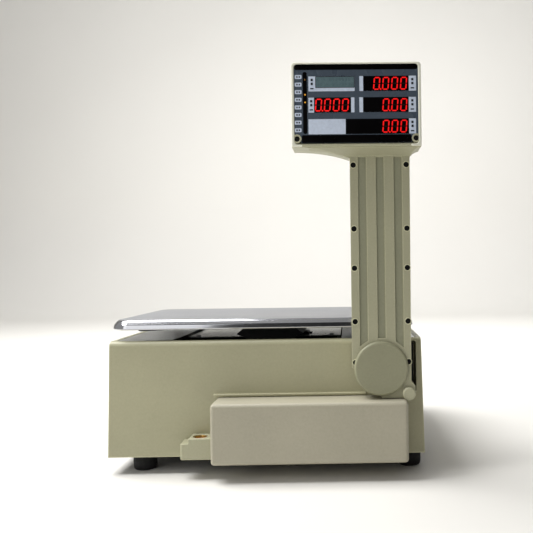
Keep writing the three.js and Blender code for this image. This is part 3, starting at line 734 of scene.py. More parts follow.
# ---- folding arm and display head
ARM_FRONT, ARM_BACK, PARTING = -25.0, -4.0, -14.7
COLUMN_LEFT, COLUMN_RIGHT, HEEL = 109.1, 182.9, 97.0
HEAD_LEFT, HEAD_RIGHT, HEAD_FRONT, _, _, HEAD_TOP = span("display_front_shell")
HEAD_BOTTOM, NECK, CHIN = 403.0, 392.0, 395.0
SHELL = 2.5
DISC = 33.4
COLLAR = 37.0
KNOB = (178.4, 102.4)
KNOB_RADIUS = 8.2
GROOVES = ((118.8, 129.3), (140.9, 151.1), (162.8, 173.3))
GROOVE_DEPTH = 2.0
WINDOW = (43.4, 192.2, 407.0, 501.8)
CORNER_SCREWS = ((46.4, 412.5), (189.2, 412.5))
OPERATOR = (51.0, 185.0, 418.0, 496.0)
RIM = 2.4  # the bezel's thickness
ABOVE_HEAD = 510.0
SINK_RADIUS = 3.5
COLUMN_SCREWS = [(x, z) for x in (113.4, 178.6) for z in (384.0, 305.5, 257.0, 191.2, 141.0)]


def column_outline(inset):
    """The column from the front: straight sides, a round lower left corner and a boss for the knob."""
    left, right = COLUMN_LEFT + inset, COLUMN_RIGHT - inset
    top, heel = CHIN + SHELL, HEEL + inset
    radius = DISC - inset
    knob_radius = KNOB_RADIUS - inset
    x, z = HINGE
    return [
        (left, top),
        (left, z + 1),
        *arc((x, z), radius, 180, 270, 24),
        (x + inset + 0.01, heel),
        (KNOB[0] - 7, heel),
        *arc(KNOB, knob_radius, 270, 360, 10),
        (KNOB[0] + knob_radius, KNOB[1] + 9),
        (right - 1.2, KNOB[1] + 14),
        (right, top),
    ]


def head_outline(inset):
    """The head from the front: square above, two hollow curves below that bring it to the column."""
    left, right = HEAD_LEFT + inset, HEAD_RIGHT - inset
    corner = 4.5 - inset
    bottom, neck = HEAD_BOTTOM + inset, NECK + inset
    column_left, column_right = COLUMN_LEFT + inset, COLUMN_RIGHT - inset
    return [
        (column_left, NECK - 10),
        (column_right, NECK - 10),
        *quadratic((column_right, NECK), (column_right + 3, bottom - 2), (right, bottom)),
        *arc((right - corner, HEAD_TOP - inset - corner), corner, 0, 90, 6),
        *arc((left + corner, HEAD_TOP - inset - corner), corner, 90, 180, 6),
        *quadratic((left, bottom), (COLUMN_LEFT - 30, bottom), (column_left, neck)),
    ]


def head_block(inset, rim=0.0):
    """The head stands forward of the column; its chin slopes back to it."""
    y0 = HEAD_FRONT + inset
    side = [
        (y0, HEAD_BOTTOM + inset),
        (ARM_FRONT + inset, CHIN + inset),
        (ARM_FRONT + inset, NECK - 11),
        (ARM_BACK - inset, NECK - 11),
        (ARM_BACK - inset, HEAD_TOP + OVER),
        (y0, HEAD_TOP + OVER),
    ]
    face = prism("y", head_outline(inset), y0, ARM_BACK - inset)
    solid = common(face, prism("x", side, HEAD_LEFT - OVER, HEAD_RIGHT + OVER))
    if rim:
        round_edges(solid, rim, 4, lying_on((1, HEAD_FRONT)))
    return solid


def arm_block(inset, rim=0.0):
    column = prism("y", column_outline(inset), ARM_FRONT + inset, ARM_BACK - inset)
    return join(column, head_block(inset, rim))


def arm_shell(y0, y1, rim=0.0):
    whole = common(arm_block(0, rim), block(0, 220, y0, y1, 80, 520))
    tube = rod("y", 6, max(y0, ARM_FRONT + 0.01), y1, KNOB)
    shell = join(cut(whole, arm_block(SHELL)), tube)
    return cut(shell, rod("y", 3.3, -60, 10, KNOB))


def make_front_shell():
    """Column and head seen by the customer: grooves, screw sinks and a rim round the window."""
    shell = arm_shell(HEAD_FRONT - OVER, PARTING - GAP / 2, rim=1.5)
    grooves = []
    for x0, x1 in GROOVES:
        groove = block(x0, x1, ARM_FRONT - OVER, ARM_FRONT + GROOVE_DEPTH, HINGE[1], CHIN - 1)
        grooves.append(cut(groove, rod("y", COLLAR, -60, 0, HINGE, 96)))
    nut_access = rod("y", 20, -30, -20, HINGE)
    window = prism("y", rounded(*WINDOW, 4), HEAD_FRONT - OVER, HEAD_FRONT + 3)
    depth = (HEAD_FRONT - OVER, HEAD_FRONT + RIM)
    rim_room = block(HEAD_LEFT - OVER, HEAD_RIGHT + OVER, *depth, HEAD_BOTTOM - OVER, ABOVE_HEAD)
    sinks = [rod("y", SINK_RADIUS, ARM_FRONT - OVER, ARM_FRONT + 2.2, at, 32) for at in COLUMN_SCREWS]
    shell = cut(shell, *grooves, nut_access, window, rim_room, *sinks)
    piece("arm_front", shell, ARM, "column", "column_plastic", ["display_front_shell"], edge=0.45)
    collar = [(0, 4), (5.2, 4), (5.2, 0.3), (4.7, 0.05), (4.2, 0.15), (3.4, 0.45), (3.35, 3.2), (0, 3.2)]
    for index, at in enumerate(CORNER_SCREWS, 1):
        boss = common(lathe("y", collar, at, base=HEAD_FRONT), head_block(0.25))
        piece(f"window_boss_{index}", boss, ARM, "column", "column_plastic")


def make_back_shell():
    shell = arm_shell(PARTING + GAP / 2, ARM_BACK)
    boss = rod("y", 14, -12, ARM_BACK, HINGE)
    opening = prism("y", rounded(*OPERATOR, 4), ARM_BACK - 5, ARM_BACK + OVER)
    shell = cut(join(shell, boss), rod("y", 9.3, -40, 10, HINGE), opening)
    piece("arm_back", shell, ARM, "column", "column_plastic", ["display_back_shell"], edge=0.5)


def screw_shape(at, front, radius):
    """A pan-head screw that faces the customer, with a cross recess."""
    head = [(0, 0), (0.45, 0.02), (0.8, 0.22), (1, 0.6), (1, 1.0), (0, 1.0)]
    shape = lathe("y", [(r * radius, depth * radius * 0.6) for r, depth in head], at, 32, front)
    x, z = at
    wide, narrow, deep = radius * 0.62, radius * 0.13, radius * 0.35
    across = block(x - wide, x + wide, front - OVER, front + deep, z - narrow, z + narrow)
    upright = block(x - narrow, x + narrow, front - OVER, front + deep, z - wide, z + wide)
    return cut(shape, join(across, upright))


def screw(name, at, front, radius):
    return piece(name, screw_shape(at, front, radius), SCREW_SHADE_BLACK, "column", "steel")


def make_arm_screws():
    section = ((3.5, 0.4), (3.5, -0.1), (3.62, -0.3), (3.85, -0.35), (4.1, -0.2), (4.25, 0.4))
    for index, at in enumerate(COLUMN_SCREWS, 1):
        # Each ring is painted pale, a painted highlight on the sink's rim.
        collar = lathe("y", section, at, 48, ARM_FRONT, ring=True)
        piece(f"screw_ring_{index}", collar, RING_HIGHLIGHT_PLASTIC, "column", "column_plastic", angle=50)
        screw(f"arm_screw_{index}", at, ARM_FRONT + 0.9, 3.45)
    for index, at in enumerate(CORNER_SCREWS, 1):
        screw(f"window_screw_{index}", at, HEAD_FRONT + 1.0, 3.3)


def make_groove_floors():
    """The grooves' floors have a coarser grain than the ridges, and a darker colour that is painted shade.
    """
    y1 = ARM_FRONT + GROOVE_DEPTH - 0.02
    for index, (x0, x1) in enumerate(GROOVES, 1):
        strip = block(x0 + 0.35, x1 - 0.35, y1 - 0.12, y1, HINGE[1], CHIN - 1.35)
        strip = cut(strip, rod("y", COLLAR + 0.35, -60, 0, HINGE, 96))
        piece(f"groove_floor_{index}", strip, GROOVE_SHADE_PLASTIC, "column", "column_plastic")


def make_bezel():
    """The rim of the head, a frame round the window, pale as a painted highlight."""
    y0, y1 = HEAD_FRONT, HEAD_FRONT + RIM
    left, right, bottom, top = WINDOW
    outer = [(x, z) for x, z in head_outline(0) if z > HEAD_BOTTOM - 0.01]
    opening = prism("y", rounded(left, right, bottom - 1.4, top, 4), y0 - OVER, y1 + OVER)
    rim = cut(prism("y", outer, y0, y1), opening)
    foot = block(left + 9, right - 9, y0 - OVER, y1 + OVER, HEAD_BOTTOM - OVER, bottom + OVER)
    piece("bezel_foot", common(rim.copy(), foot.copy()), ARM, "column", "column_plastic", edge=0.6)
    piece("bezel", cut(rim, foot), BEZEL_HIGHLIGHT, "column", "column_plastic", edge=0.9, segments=4)


def make_hinge_disc():
    """The round cap over the hinge, with a raised rim."""
    face = ARM_FRONT - 5.5
    fillet = arc((DISC - 3.2, face + 3.4), 3.2, 0, -90, 6)
    back = ARM_FRONT - 0.3
    profile = [(0, back), (DISC, back), *fillet, (DISC - 3.9, face + 0.32), (0, face + 0.32)]
    disc = lathe("y", profile, HINGE, 128)
    piece("hinge_disc", disc, DISC_PLASTIC, "column", "column_plastic", ["hinge_cap"], angle=50)


def make_knob():
    front = span("lock_knob")[2]
    back = ARM_FRONT - 0.3
    edge = [(0, 2.0), (0.25, 1.1), (0.9, 0.4), (1.9, 0.05), (2.6, 0)]
    profile = [(0, back), (KNOB_RADIUS - 0.3, back), (KNOB_RADIUS, back - 0.4)]
    profile += [(KNOB_RADIUS - inset, front + depth) for inset, depth in edge]
    profile.append((0, front + 0.25))
    knob = lathe("y", profile, KNOB, 72)
    piece("knob", knob, KNOB_PLASTIC, "lock", "column_plastic", ["lock_knob"], angle=50)


# The disc's wide pale edge is a painted highlight on its rim.
DISC_PLASTIC = moulded_plastic("disc_plastic", srgb(146, 145, 119), 0.42, edge_wear_and_highlight=3.0)
KNOB_PLASTIC = moulded_plastic("knob_plastic", srgb(176, 174, 147), 0.42, edge_wear_and_highlight=1.6)
# Darker than the arm: painted shade on the grooves' floors, with a coarser grain.
GROOVE_SHADE_PLASTIC = moulded_plastic("groove_shade_plastic", srgb(146, 146, 122), 0.6, 2.0)
# Near white: a painted highlight on the head's rim.
BEZEL_HIGHLIGHT = moulded_plastic("bezel_highlight_plastic", srgb(228, 228, 212), 0.4)
# Pale: a painted highlight on the rims round the screw sinks.
RING_HIGHLIGHT_PLASTIC = moulded_plastic("ring_highlight_plastic", srgb(206, 204, 172), 0.45)
make_front_shell()
make_back_shell()
make_arm_screws()
make_groove_floors()
make_bezel()
make_hinge_disc()
make_knob()


# ---- customer's window
PANE_FRONT = span("customer_window")[2]
STAND_OFF = 0.01
INK = 0.1  # how far printed areas stand off the pane, so that each stays above the one below
FIELD = printed_film("window_field", srgb(72, 82, 94))
BLACK_INK = printed_film("window_black", srgb(4, 3, 4), 0.3, 0.12)
PALE_INK = printed_film("window_pale", srgb(202, 213, 231), 0.3)
MARK_INK = printed_film("window_mark", srgb(34, 38, 46), 0.3)
LCD_GLASS = printed_film("lcd_glass", srgb(96, 117, 122), 0.2)
SEGMENT_RED = lit("segment_red", srgb(250, 14, 12), 0.95)
SEGMENT_OFF = printed_film("segment_off", srgb(34, 8, 8), 0.3)
AMBER = lit("lamp_amber", srgb(214, 150, 20), 1.0)
AMBER_DIM = lit("lamp_amber_dim", srgb(120, 80, 12), 0.5)


def ink(name, outline, look, layer, slot="display_window"):
    """A printed area on the window; a higher layer lies over a lower one."""
    y1 = PANE_FRONT - STAND_OFF - INK * layer
    return piece(name, prism("y", outline, y1 - INK, y1), look, "column", slot)


def make_pane():
    """The pane has a round notch at each lower corner, where a screw's boss stands."""
    left, right, bottom, top = WINDOW
    outline = rounded(left + GAP, right - GAP, bottom + GAP, top - GAP, 3.6)
    pane = prism("y", outline, PANE_FRONT, PANE_FRONT + 1.5)
    reach, depth = 5.4, (-60, -30)
    notches = []
    for (x, z), side in zip(CORNER_SCREWS, (left - OVER, right + OVER)):
        below = block(x - reach, x + reach, *depth, bottom - OVER, z)
        outer = block(min(x, side), max(x, side), *depth, z - reach, z + reach)
        notches.append(join(rod("y", reach, *depth, (x, z)), below, outer))
    piece("window_pane", cut(pane, *notches), FIELD, "column", "display_window", ["customer_window"])


BAR_ENDS = {
    "a": ((-1, 1), (1, 1)), "b": ((1, 1), (1, 0)), "c": ((1, 0), (1, -1)), "d": ((-1, -1), (1, -1)),
    "e": ((-1, 0), (-1, -1)), "f": ((-1, 1), (-1, 0)), "g": ((-1, 0), (1, 0)),
}


SLANT = 0.085  # how far a digit leans for each unit of height


def segment_outline(cell, which, size, slant=SLANT):
    """One bar of a seven-part digit, as an outline about the digit's middle."""
    width, height, stroke, gap = size
    half, tall = width / 2 - stroke / 2, height / 2 - stroke / 2
    start, end = (Vector((u * half, v * tall)) for u, v in BAR_ENDS[which])
    along = (end - start).normalized()
    side = Vector((-along.y, along.x)) * stroke / 2
    start, end = start + along * gap, end - along * gap
    points = [start, start + side + along * stroke / 2, end + side - along * stroke / 2]
    points += [end, end - side - along * stroke / 2, start - side + along * stroke / 2]
    x, z = cell
    return [(x + p.x + slant * p.y, z + p.y) for p in points]


SEGMENTS = {
    "0": "abcdef", "1": "bc", "2": "abdeg", "3": "abcdg", "4": "bcfg",
    "5": "acdfg", "6": "acdefg", "7": "abc", "8": "abcdefg", "9": "abcdfg", "-": "g",
}
LED_SIZE = (8.0, 15.4, 1.5, 0.35)  # width, height, stroke and gap
LCD_SIZE = (2.1, 3.6, 0.42, 0.05)


def figure_bars(cell, bars, size, y0, slant=SLANT):
    """The named bars of a digit, as thin prisms that start at y0."""
    return [prism("y", segment_outline(cell, bar, size, slant), y0, y0 + INK) for bar in bars]


def led_row(name, xs, z):
    """A row of noughts with a decimal point, lit red on the black field."""
    y0 = PANE_FRONT - STAND_OFF - INK * 4
    bars, dark = [], []
    for x in xs:
        bars += figure_bars((x, z), SEGMENTS["0"], LED_SIZE, y0)
        dark += figure_bars((x, z), "g", LED_SIZE, y0)
    dot = (xs[0] + 4.6, z - LED_SIZE[1] / 2 + 0.9)
    bars.append(rod("y", 1.0, y0, y0 + INK, dot, 20))
    piece(f"{name}_lit", together(*bars), SEGMENT_RED, "column", "led")
    piece(f"{name}_dark", together(*dark), SEGMENT_OFF, "column", "led")


def label_marks(name, x0, x1, z0, z1):
    """Blank generic blocks where a real window has words."""
    middle = (x0 + x1) / 2
    height = z1 - z0
    y1 = PANE_FRONT - STAND_OFF - INK * 3
    shapes = []
    for half, low, high in ((1.3, 0.68, 0.84), (1.3, 0.42, 0.58), (2.1, 0.14, 0.22)):
        outline = rounded(middle - half, middle + half, z0 + height * low, z0 + height * high, 0.3, 2)
        shapes.append(prism("y", outline, y1 - INK, y1))
    piece(name, together(*shapes), MARK_INK, "column", "display_window")


INDICATOR_ROWS = [486.6, 477.5, 468.5, 459.3, 450.2, 441.2, 432.0, 422.9]
ROW_1, ROW_2, ROW_3 = (469.2, 487.1), (443.8, 461.7), (417.8, 435.9)
MARKED = ((180.9, 189.7, ROW_1), (180.6, 189.4, ROW_2), (180.7, 189.1, ROW_3), (60.5, 67.2, ROW_2),
          (60.8, 68.8, ROW_1))
PRINTED = (
    ("lcd_frame", 60.8, 116.1, ROW_1, 0),
    ("row1_field", 121.7, 189.7, ROW_1, 0),
    ("row1_black", 126.3, 180.9, ROW_1, 1),
    ("row2_left", 60.5, 115.6, ROW_2, 0),
    ("row2_left_black", 67.2, 111.5, ROW_2, 1),
    ("row2_right", 121.4, 189.4, ROW_2, 0),
    ("row2_right_black", 125.9, 180.6, ROW_2, 1),
    ("row3_field", 60.3, 189.1, ROW_3, 0),
    ("row3_black", 104.8, 180.7, ROW_3, 1),
)


def make_print():
    left, right, _, top = WINDOW
    ink("band_top", rounded(left + 0.35, right - 0.35, 494.9, top - 0.4, 3.0), BLACK_INK, 0)
    ink("band_bottom", rounded(52.3, 183.5, 407.5, 416.8, 1.6), BLACK_INK, 0)
    ink("lamp_strip", rounded(53.9, 58.9, 418.4, 492.6, 2.4), BLACK_INK, 0)
    for index, z in enumerate(INDICATOR_ROWS):
        x0 = 44.5 - 0.1 * index
        ink(f"indicator_{index + 1}", rounded(x0, x0 + 8.2, z - 2.4, z + 2.4, 1.1, 4), PALE_INK, 0)
        for side, shift in (("a", 2.7), ("b", 5.5)):
            mark = rounded(x0 + shift - 0.85, x0 + shift + 0.85, z - 0.95, z + 0.95, 0.35, 3)
            ink(f"indicator_{index + 1}{side}", mark, MARK_INK, 1)
    for index, (z, look) in enumerate(((483.2, AMBER_DIM), (465.2, AMBER), (456.1, AMBER))):
        y1 = PANE_FRONT - STAND_OFF - INK
        dome = [(0, 0), (0.95, 0), (0.95, -0.1), (0.6, -0.3), (0, -0.38)]
        lamp = lathe("y", dome, (56.6, z), 24, y1)
        piece(f"lamp_{index + 1}", lamp, look, "column", "led")
    for name, x0, x1, (z0, z1), layer in PRINTED:
        corner, look = ((0.5, PALE_INK), (0.3, BLACK_INK))[layer]
        ink(name, rounded(x0, x1, z0, z1, corner, 3), look, layer)
    for index, (x0, x1, row) in enumerate(MARKED, 1):
        label_marks(f"marks_{index}", x0, x1, *row)
    led_row("digits_1", (142.6, 153.3, 164.0, 174.7), 478.1)
    led_row("digits_2", (72.6, 83.3, 94.0, 104.7), 452.7)
    led_row("digits_3", (153.3, 164.0, 174.7), 452.4)
    led_row("digits_4", (153.0, 163.7, 174.4), 426.7)


def make_lcd():
    """The small grey display: a glass cell in a dark rim with two rows of dark dots."""
    cell = rounded(69.8, 115.3, 474.0, 486.3, 0.3, 3)
    rim = prism("y", rounded(69.0, 116.0, 473.3, 487.0, 0.4, 3), PANE_FRONT - 0.32, PANE_FRONT - 0.11)
    rim = cut(rim, prism("y", cell, PANE_FRONT - OVER, PANE_FRONT + OVER))
    piece("lcd_rim", rim, MARK_INK, "column", "lcd")
    ink("lcd_cell", cell, LCD_GLASS, 1, "lcd")
    columns, rows = 12, (483.2, 477.4)
    dots = []
    y0 = PANE_FRONT - STAND_OFF - INK * 3
    for row, z in enumerate(rows):
        for column in range(columns):
            figure = str((column * 7 + row * 3) % 10)
            dots += figure_bars((72.3 + column * 3.7, z), SEGMENTS[figure], LCD_SIZE, y0, 0.0)
    piece("lcd_figures", together(*dots), LCD_INK, "column", "lcd")


LCD_INK = printed_film("lcd_ink", srgb(72, 92, 98), 0.3)
make_pane()
make_print()
make_lcd()


# ---- level, feet and other small parts
def make_level():
    left, right, front, back, bottom, top = span("level_bracket")
    step_x, step_top = -93.0, 44.8
    vial = span("level_vial")
    centre = ((vial[0] + vial[1]) / 2, (vial[2] + vial[3]) / 2)
    radius = (vial[1] - vial[0]) / 2
    upright = [(step_x, front), (right, front), (right, back), (step_x, back)]
    upper = prism("z", upright, bottom, top)
    foot_outline = [(left, front, 3.5), (step_x + 2, front, 0), (step_x + 2, back, 0), (left, back, 1)]
    lower = prism("z", filleted(foot_outline), bottom, step_top)
    hole = rod("z", radius + GAP, top - 14, top + OVER, centre, 64)
    bracket = cut(join(upper, lower), hole)
    rounding = {"edge": 1.1, "segments": 4}
    piece("level_bracket_body", bracket, ARM, "base", "housing_plastic", ["level_bracket"], **rounding)
    section = [(0, -12.5), (radius, -12.5), (radius, -1.2), (radius - 0.9, -0.9)]
    section += [(radius - 1.5, -1.6), (radius - 1.5, -3), (0, -3)]
    cup = lathe("z", section, centre, 64, top)
    piece("level_cup", cup, BRASS, "base", "vial_liquid", ["level_vial"], angle=50)
    dome = [(0, -1.9)]
    for angle in range(80, -1, -10):
        a = math.radians(angle)
        dome.append(((radius - 1.6) * math.cos(a), -2.9 + math.sin(a)))
    dome.append((0, -2.9))
    lens = lathe("z", dome, centre, 64, top)
    piece("level_lens", lens, AMBER_LIQUID, "base", "vial_liquid", angle=70)


STUD = 4.0  # radius of a foot's threaded stud


def make_feet():
    """Rubber pads on threaded studs."""
    for index in range(4):
        node = f"foot_{index + 1}"
        x0, x1, y0, y1, _, top = span(node)
        radius = (x1 - x0) / 2
        centre = ((x0 + x1) / 2, (y0 + y1) / 2)
        profile = [(0, 1.2), (radius - 6, 1.2), (radius - 5.4, 0), (radius - 3.2, 0), (radius - 1.6, 0.6)]
        profile += [(radius - 0.6, 2.0), (radius - 0.15, 4.5), (radius, 8), (radius, 18.6)]
        profile += [(radius - 0.5, 19.6), (radius - 1.4, 20)]
        profile += [(STUD, 20), (STUD, top - 0.5), (STUD - 0.5, top), (0, top)]
        foot = lathe("z", profile, centre, 72)
        body = f"foot_{'abcd'[index]}"
        piece(f"foot_rubber_{index + 1}", foot, RUBBER, body, "black_rubber", [node], angle=50)


AMBER_LIQUID = tinted_glass("level_liquid", srgb(214, 132, 40))
make_level()
make_feet()

STEEL_NODES = """load_cell cell_spacer hinge_axle axle_nut power_supply printer_frame print_head
    stepper_motor tear_bar column_stiffener lock_screw"""
BLACK_NODES = """base_plate power_inlet data_port switch_frame power_rocker roll_spindle lcd_module
    led_module_1 led_module_2 led_module_3 led_module_4"""
RUBBER_NODES = """well_seal drive_belt platen_roller spider_pad_1 spider_pad_2 spider_pad_3
    spider_pad_4 signal_cable"""
for nodes, look in (
    (STEEL_NODES, STEEL),
    (BLACK_NODES, BLACK_ABS),
    (RUBBER_NODES, RUBBER),
    ("hinge_bracket spider", CASTING),
    ("main_board display_board operator_board", BOARD),
    ("motor_pulley hinge_bush", BRASS),
    ("keyboard_pad", KEY_FILM),
    ("printer_door", HOUSING),
    ("label_roll", PAPER),
    ("operator_window", FIELD),
    ("operator_module", LCD_GLASS),
):
    for node in nodes.split():
        dress(node, look)


# ---- operator's keyboard
KEY_TOP, KEY_BASE = 1.1, 0.02  # heights over the sloping face
PLU_KEYS = [(x, y) for x in range(-16, 165, 20) for y in (22, 41, 60, 79, 98)]
NUMBER_KEYS = [(x, y) for y in (30, 50, 70, 90) for x in (-42, -64, -86)]
FUNCTION_KEYS = [(x, y) for x in (-118, -146) for y in (22, 41, 60, 79, 98)]
NUMBERS = "7894561230-0"
KEY_GREY = printed_film("key_grey", srgb(150, 151, 142), 0.42)
KEY_BLUE = printed_film("key_blue", srgb(48, 84, 132), 0.42)
KEY_PALE = printed_film("key_pale", srgb(168, 166, 150), 0.42)
KEY_INK = printed_film("key_ink", srgb(26, 28, 32), 0.4)


def on_console(shape):
    return turned(shape, console_turn())


def key_pad(at, width, height):
    x, y = at
    outline = rounded(x - width / 2, x + width / 2, y - height / 2, y + height / 2, 2.2, 4)
    pad = prism("z", outline, KEY_BASE, KEY_TOP)
    return round_edges(pad, 0.5, 3, lying_on((2, KEY_TOP)))


def key_figure(at, figure, size):
    """A seven-part digit that the operator reads: up the slope, from the operator's left to right."""
    bars = []
    for which in SEGMENTS[figure]:
        outline = [(at[0] - u, at[1] - v) for u, v in segment_outline((0, 0), which, size, 0)]
        bars.append(prism("z", outline, KEY_TOP, KEY_TOP + 0.05))
    return bars


def make_keyboard():
    groups = (
        ("item_keys", PLU_KEYS, (17.5, 15.5), KEY_GREY),
        ("number_keys", NUMBER_KEYS, (19.5, 17), KEY_PALE),
        ("function_keys", FUNCTION_KEYS, (24, 15.5), KEY_BLUE),
    )
    for name, places, (width, height), look in groups:
        pads = together(*[key_pad(at, width, height) for at in places])
        piece(name, on_console(pads), look, "base", "light_plastic")
    figures = []
    for at, figure in zip(NUMBER_KEYS, NUMBERS):
        figures += key_figure(at, figure, (4.6, 8, 0.9, 0.1))
    for index, (x, y) in enumerate(PLU_KEYS):
        for digit, figure in enumerate(f"{index + 1:02d}"):
            figures += key_figure((x + 6.2 - 2.3 * digit, y - 4.6), figure, (1.5, 2.8, 0.35, 0.03))
    piece("key_figures", on_console(together(*figures)), KEY_INK, "base", "light_plastic")
    lines = [block(x, x + 0.5, 14, 106, 0.12, 0.2) for x in (-27.5, -101.5)]
    piece("keyboard_lines", on_console(together(*lines)), KEY_INK, "base", "light_plastic")


# ---- operator's display
def behind(name, outline, look, layer, slot="display_window"):
    """A printed area on the operator's window, which looks away from the customer."""
    y0 = OPERATOR_FACE + STAND_OFF + INK * layer
    return piece(name, prism("y", outline, y0, y0 + INK), look, "column", slot)


def operator_figures(xs, z, size):
    """Dark noughts that read from the operator's left, which is +X, to the right."""
    y0 = OPERATOR_FACE + STAND_OFF + INK * 2
    bars = []
    for x in xs:
        for which in SEGMENTS["0"]:
            outline = [(2 * x - u, v) for u, v in segment_outline((x, z), which, size)]
            bars.append(prism("y", outline, y0, y0 + INK))
    bars.append(rod("y", 0.8, y0, y0 + INK, (xs[0] - 4.6, z - size[1] / 2 + 0.6), 16))
    return bars


def make_operator_display():
    left, right, bottom, top = OPERATOR
    behind("operator_band", rounded(left + 1, right - 1, top - 8, top - 1, 2.4), BLACK_INK, 0)
    behind("operator_foot", rounded(left + 1, right - 1, bottom + 1, bottom + 12, 2.4), BLACK_INK, 0)
    cells = ((66, 116), (120, 170))
    figures = []
    for row, z in enumerate((474.5, 448.5)):
        for column, (x0, x1) in enumerate(cells):
            behind(f"operator_rim_{row}{column}", rounded(x0 - 2, x1 + 2, z - 11, z + 11, 1.6), PALE_INK, 0)
            behind(f"operator_lcd_{row}{column}", rounded(x0, x1, z - 9, z + 9, 0.8), LCD_GLASS, 1, "lcd")
            xs = [x1 - 12 - 9.5 * digit for digit in range(4 - row)]
            figures += operator_figures(xs, z, (6.4, 12.5, 1.1, 0.15))
    piece("operator_figures", together(*figures), SEGMENT_DARK, "column", "lcd")


# ---- the other sides
def back_screw(name, at, face, radius):
    """The same pan-head screw, turned to face the operator."""
    shape = screw_shape(at, 0.0, radius)
    shape.transform(Matrix.Translation((0, face, 0)) @ Matrix.Scale(-1, 4, (0, 1, 0)))
    bmesh.ops.reverse_faces(shape, faces=shape.faces)
    return piece(name, shape, SCREW_SHADE_BLACK, "column", "steel")


def make_back_screws():
    places = [(x, z) for x in (115.5, 176.5) for z in (150.0, 262.0, 374.0)]
    places += [(x, z) for x in (47.0, 188.8) for z in (411.0, 498.0)]
    for index, at in enumerate(places, 1):
        back_screw(f"back_screw_{index}", at, ARM_BACK + 0.9, 2.6)


def make_door_fittings():
    """Two hinge barrels at the door's rear edge, and a ribbed grip for the fingertips at its front."""
    x0, _, y0, y1, z0, z1 = span("printer_door")
    outside = x0 - 1.1
    ribs = [block(outside, x0 + 0.6, y, y + 1.6, z0 + 20, z1 - 20) for y in (y1 - 8, y1 - 11, y1 - 14)]
    ribs = [round_edges(rib, 0.5, 3, lying_on((0, outside))) for rib in ribs]
    piece("door_grip", together(*ribs), HOUSING, "door", "housing_plastic")
    barrels = [rod("z", 1.9, z - 5, z + 5, (x0 - 0.4, y0 + 1.2), 24) for z in (z0 + 12, z1 - 12)]
    piece("door_barrels", together(*barrels), HOUSING, "door", "housing_plastic", edge=0.3)


def make_rear():
    """A toothed edge over the label slot, a blank label coming out, and a grille."""
    left, right, _, back, bottom, _ = span("tear_bar")
    teeth = [(left + 3 + 2.0 * i, 349.0 + (0 if i % 2 else 1.6)) for i in range(35)]
    outline = [*teeth, (teeth[-1][0], back - 2), (teeth[0][0], back - 2)]
    piece("tear_teeth", prism("z", outline, bottom + 0.1, bottom + 0.7), STEEL, "base", "steel")
    tongue = [(344.0, 75.6), (351.0, 75.4), (356.5, 74.6), (356.5, 74.45), (351.0, 75.25), (344.0, 75.45)]
    piece("label_tongue", prism("x", tongue, left + 8, right - 10), PAPER, "base", "label_paper")
    rear = HOUSING_DEPTH
    plate = prism("y", rounded(-40, 60, 34, 74, 3), rear - 0.4, rear + 0.9)
    slot_feet = (39, 45, 51, 57, 63, 68)
    slots = [prism("y", rounded(-34, 54, z, z + 2.2, 1.05, 4), rear - 3, rear + 3) for z in slot_feet]
    piece("rear_grille", cut(plate, *slots), BLACK_ABS, "base", "black_plastic", edge=0.3)


def make_right_side():
    """A blank rating plate held by four rivets."""
    wall = HALF_WIDTH * (1 - DRAFT * 30)
    plate = prism("x", rounded(110, 176, 40, 76, 2), wall - 0.6, wall + 0.35)
    piece("rating_plate", plate, PLATE_STEEL, "base", "stainless", edge=0.15)
    section = [(0, 0.3), (1.5, 0.3), (1.2, 0.8), (0, 1.0)]
    rivets = [lathe("x", section, (y, z), 20, wall) for y in (114, 172) for z in (44, 72)]
    piece("plate_rivets", together(*rivets), STEEL, "base", "steel")


def make_underside():
    """Screws and ribs under the base plate."""
    bottom = span("base_plate")[4]
    section = [(0, 0.3), (4, 0.3), (4, -0.6), (3, -1.6), (0, -1.8)]
    screws = [lathe("z", section, (x, y), 28, bottom) for x in (-180, 0, 180) for y in (60, 200, 335)]
    piece("base_screws", together(*screws), SCREW_SHADE_BLACK, "base", "steel")
    under = bottom - 1.2
    ribs = [block(x, x + 3, 90, 290, under, bottom + 0.3) for x in range(-120, 121, 12) if abs(x) > 20]
    ribs = [round_edges(rib, 0.5, 2, lying_on((2, under))) for rib in ribs]
    piece("base_ribs", together(*ribs), BLACK_ABS, "base", "black_plastic")


SEGMENT_DARK = printed_film("segment_dark", srgb(22, 28, 30), 0.3)
PLATE_STEEL = brushed_metal("rating_steel", srgb(170, 171, 170), 0.35, (300, 3, 300))
OPERATOR_FACE = span("operator_window")[3]
make_keyboard()
make_operator_display()
make_back_screws()
make_door_fittings()
make_rear()
make_right_side()
make_underside()


# ---- floor and light
def stage(name, shape, look):
    """A part of the studio, which isn't part of the scale."""
    obj = as_object(name, turned(shape, TO_FRAME))
    obj.data.materials.append(look)
    return obj


def make_floor():
    """A floor that curves up into a wall behind the scale."""
    shape = bmesh.new()
    reach, back, rise = 6000, 2600, 700
    curve = arc((back, rise), rise, -90, 0, 15)
    outline = [(-6000, 0), *curve, (back + rise, 5000)]
    rows = [[shape.verts.new((x, y, z)) for y, z in outline] for x in (-reach, reach)]
    for i in range(len(outline) - 1):
        shape.faces.new((rows[0][i], rows[0][i + 1], rows[1][i + 1], rows[1][i]))
    n = Nodes("floor")
    n.set(Roughness=0.85)
    floor = stage("floor", shape, n.surface(n.shades(n.noise(1.5, 3), srgb(226, 224, 219), 0.98, 1)))
    for polygon in floor.data.polygons:
        polygon.use_smooth = True


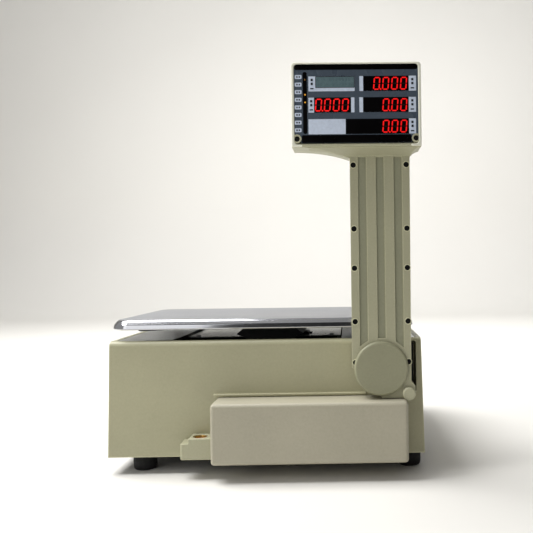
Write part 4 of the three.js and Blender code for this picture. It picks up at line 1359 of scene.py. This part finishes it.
def area_light(name, at, target, size, power, tint=(1, 1, 1)):
    data = bpy.data.lights.new(name, "AREA")
    data.shape, data.size, data.size_y = "RECTANGLE", size[0] * M, size[1] * M
    data.energy, data.color = power, tint
    lamp = bpy.data.objects.new(name, data)
    scene.collection.objects.link(lamp)
    lamp.location = place(*at)
    aim = (place(*target) - lamp.location).to_track_quat("-Z", "Y")
    lamp.rotation_euler = aim.to_euler()


def make_world():
    """A pale room, brighter overhead and to the left, dimmer in front on the right."""
    world = bpy.data.worlds.new("studio")
    scene.world = world
    world.use_nodes = True
    tree = world.node_tree
    background = tree.nodes["Background"]
    background.inputs["Color"].default_value = (1.0, 0.99, 0.97, 1)
    lean = tree.nodes.new("ShaderNodeVectorMath")
    lean.operation = "DOT_PRODUCT"
    lean.inputs[1].default_value = (-0.75, 0.35, 0.55)
    tone = tree.nodes.new("ShaderNodeMapRange")
    tone.interpolation_type = "SMOOTHSTEP"
    for name, value in (("From Min", -0.5), ("From Max", 0.6), ("To Min", 0.07), ("To Max", 0.44)):
        tone.inputs[name].default_value = value
    seen = tree.nodes.new("ShaderNodeMix")
    seen.inputs["B"].default_value = 0.72
    light_path = tree.nodes.new("ShaderNodeLightPath")
    direction = tree.nodes.new("ShaderNodeTexCoord")
    for output, socket in (
        (direction.outputs["Generated"], lean.inputs[0]),
        (lean.outputs["Value"], tone.inputs["Value"]),
        (tone.outputs["Result"], seen.inputs["A"]),
        (light_path.outputs["Is Camera Ray"], seen.inputs["Factor"]),
        (seen.outputs["Result"], background.inputs["Strength"]),
    ):
        tree.links.new(output, socket)


def make_flag():
    """A black card behind the camera, as photographers use, for the platter's rim to reflect."""
    shape = bmesh.new()
    x0, x1, y, z0, z1 = -900, 3000, -1500, 0, 2800
    corners = [shape.verts.new(point) for point in ((x0, y, z0), (x1, y, z0), (x1, y, z1), (x0, y, z1))]
    shape.faces.new(corners)
    flag = stage("flag", shape, SHADE_BLACK)
    flag.visible_camera = False
    flag.visible_diffuse = False
    flag.visible_shadow = False


MIDDLE = (0, 100, 200)
make_floor()
make_world()
make_flag()
area_light("key", (-600, -900, 640), (-150, 0, 150), (660, 760), 2.4)
area_light("top", (-760, 40, 1650), MIDDLE, (1000, 1100), 44)
area_light("backdrop_light", (0, 900, 1700), (0, 2900, 500), (3000, 800), 60)
scene.view_settings.view_transform = "Standard"

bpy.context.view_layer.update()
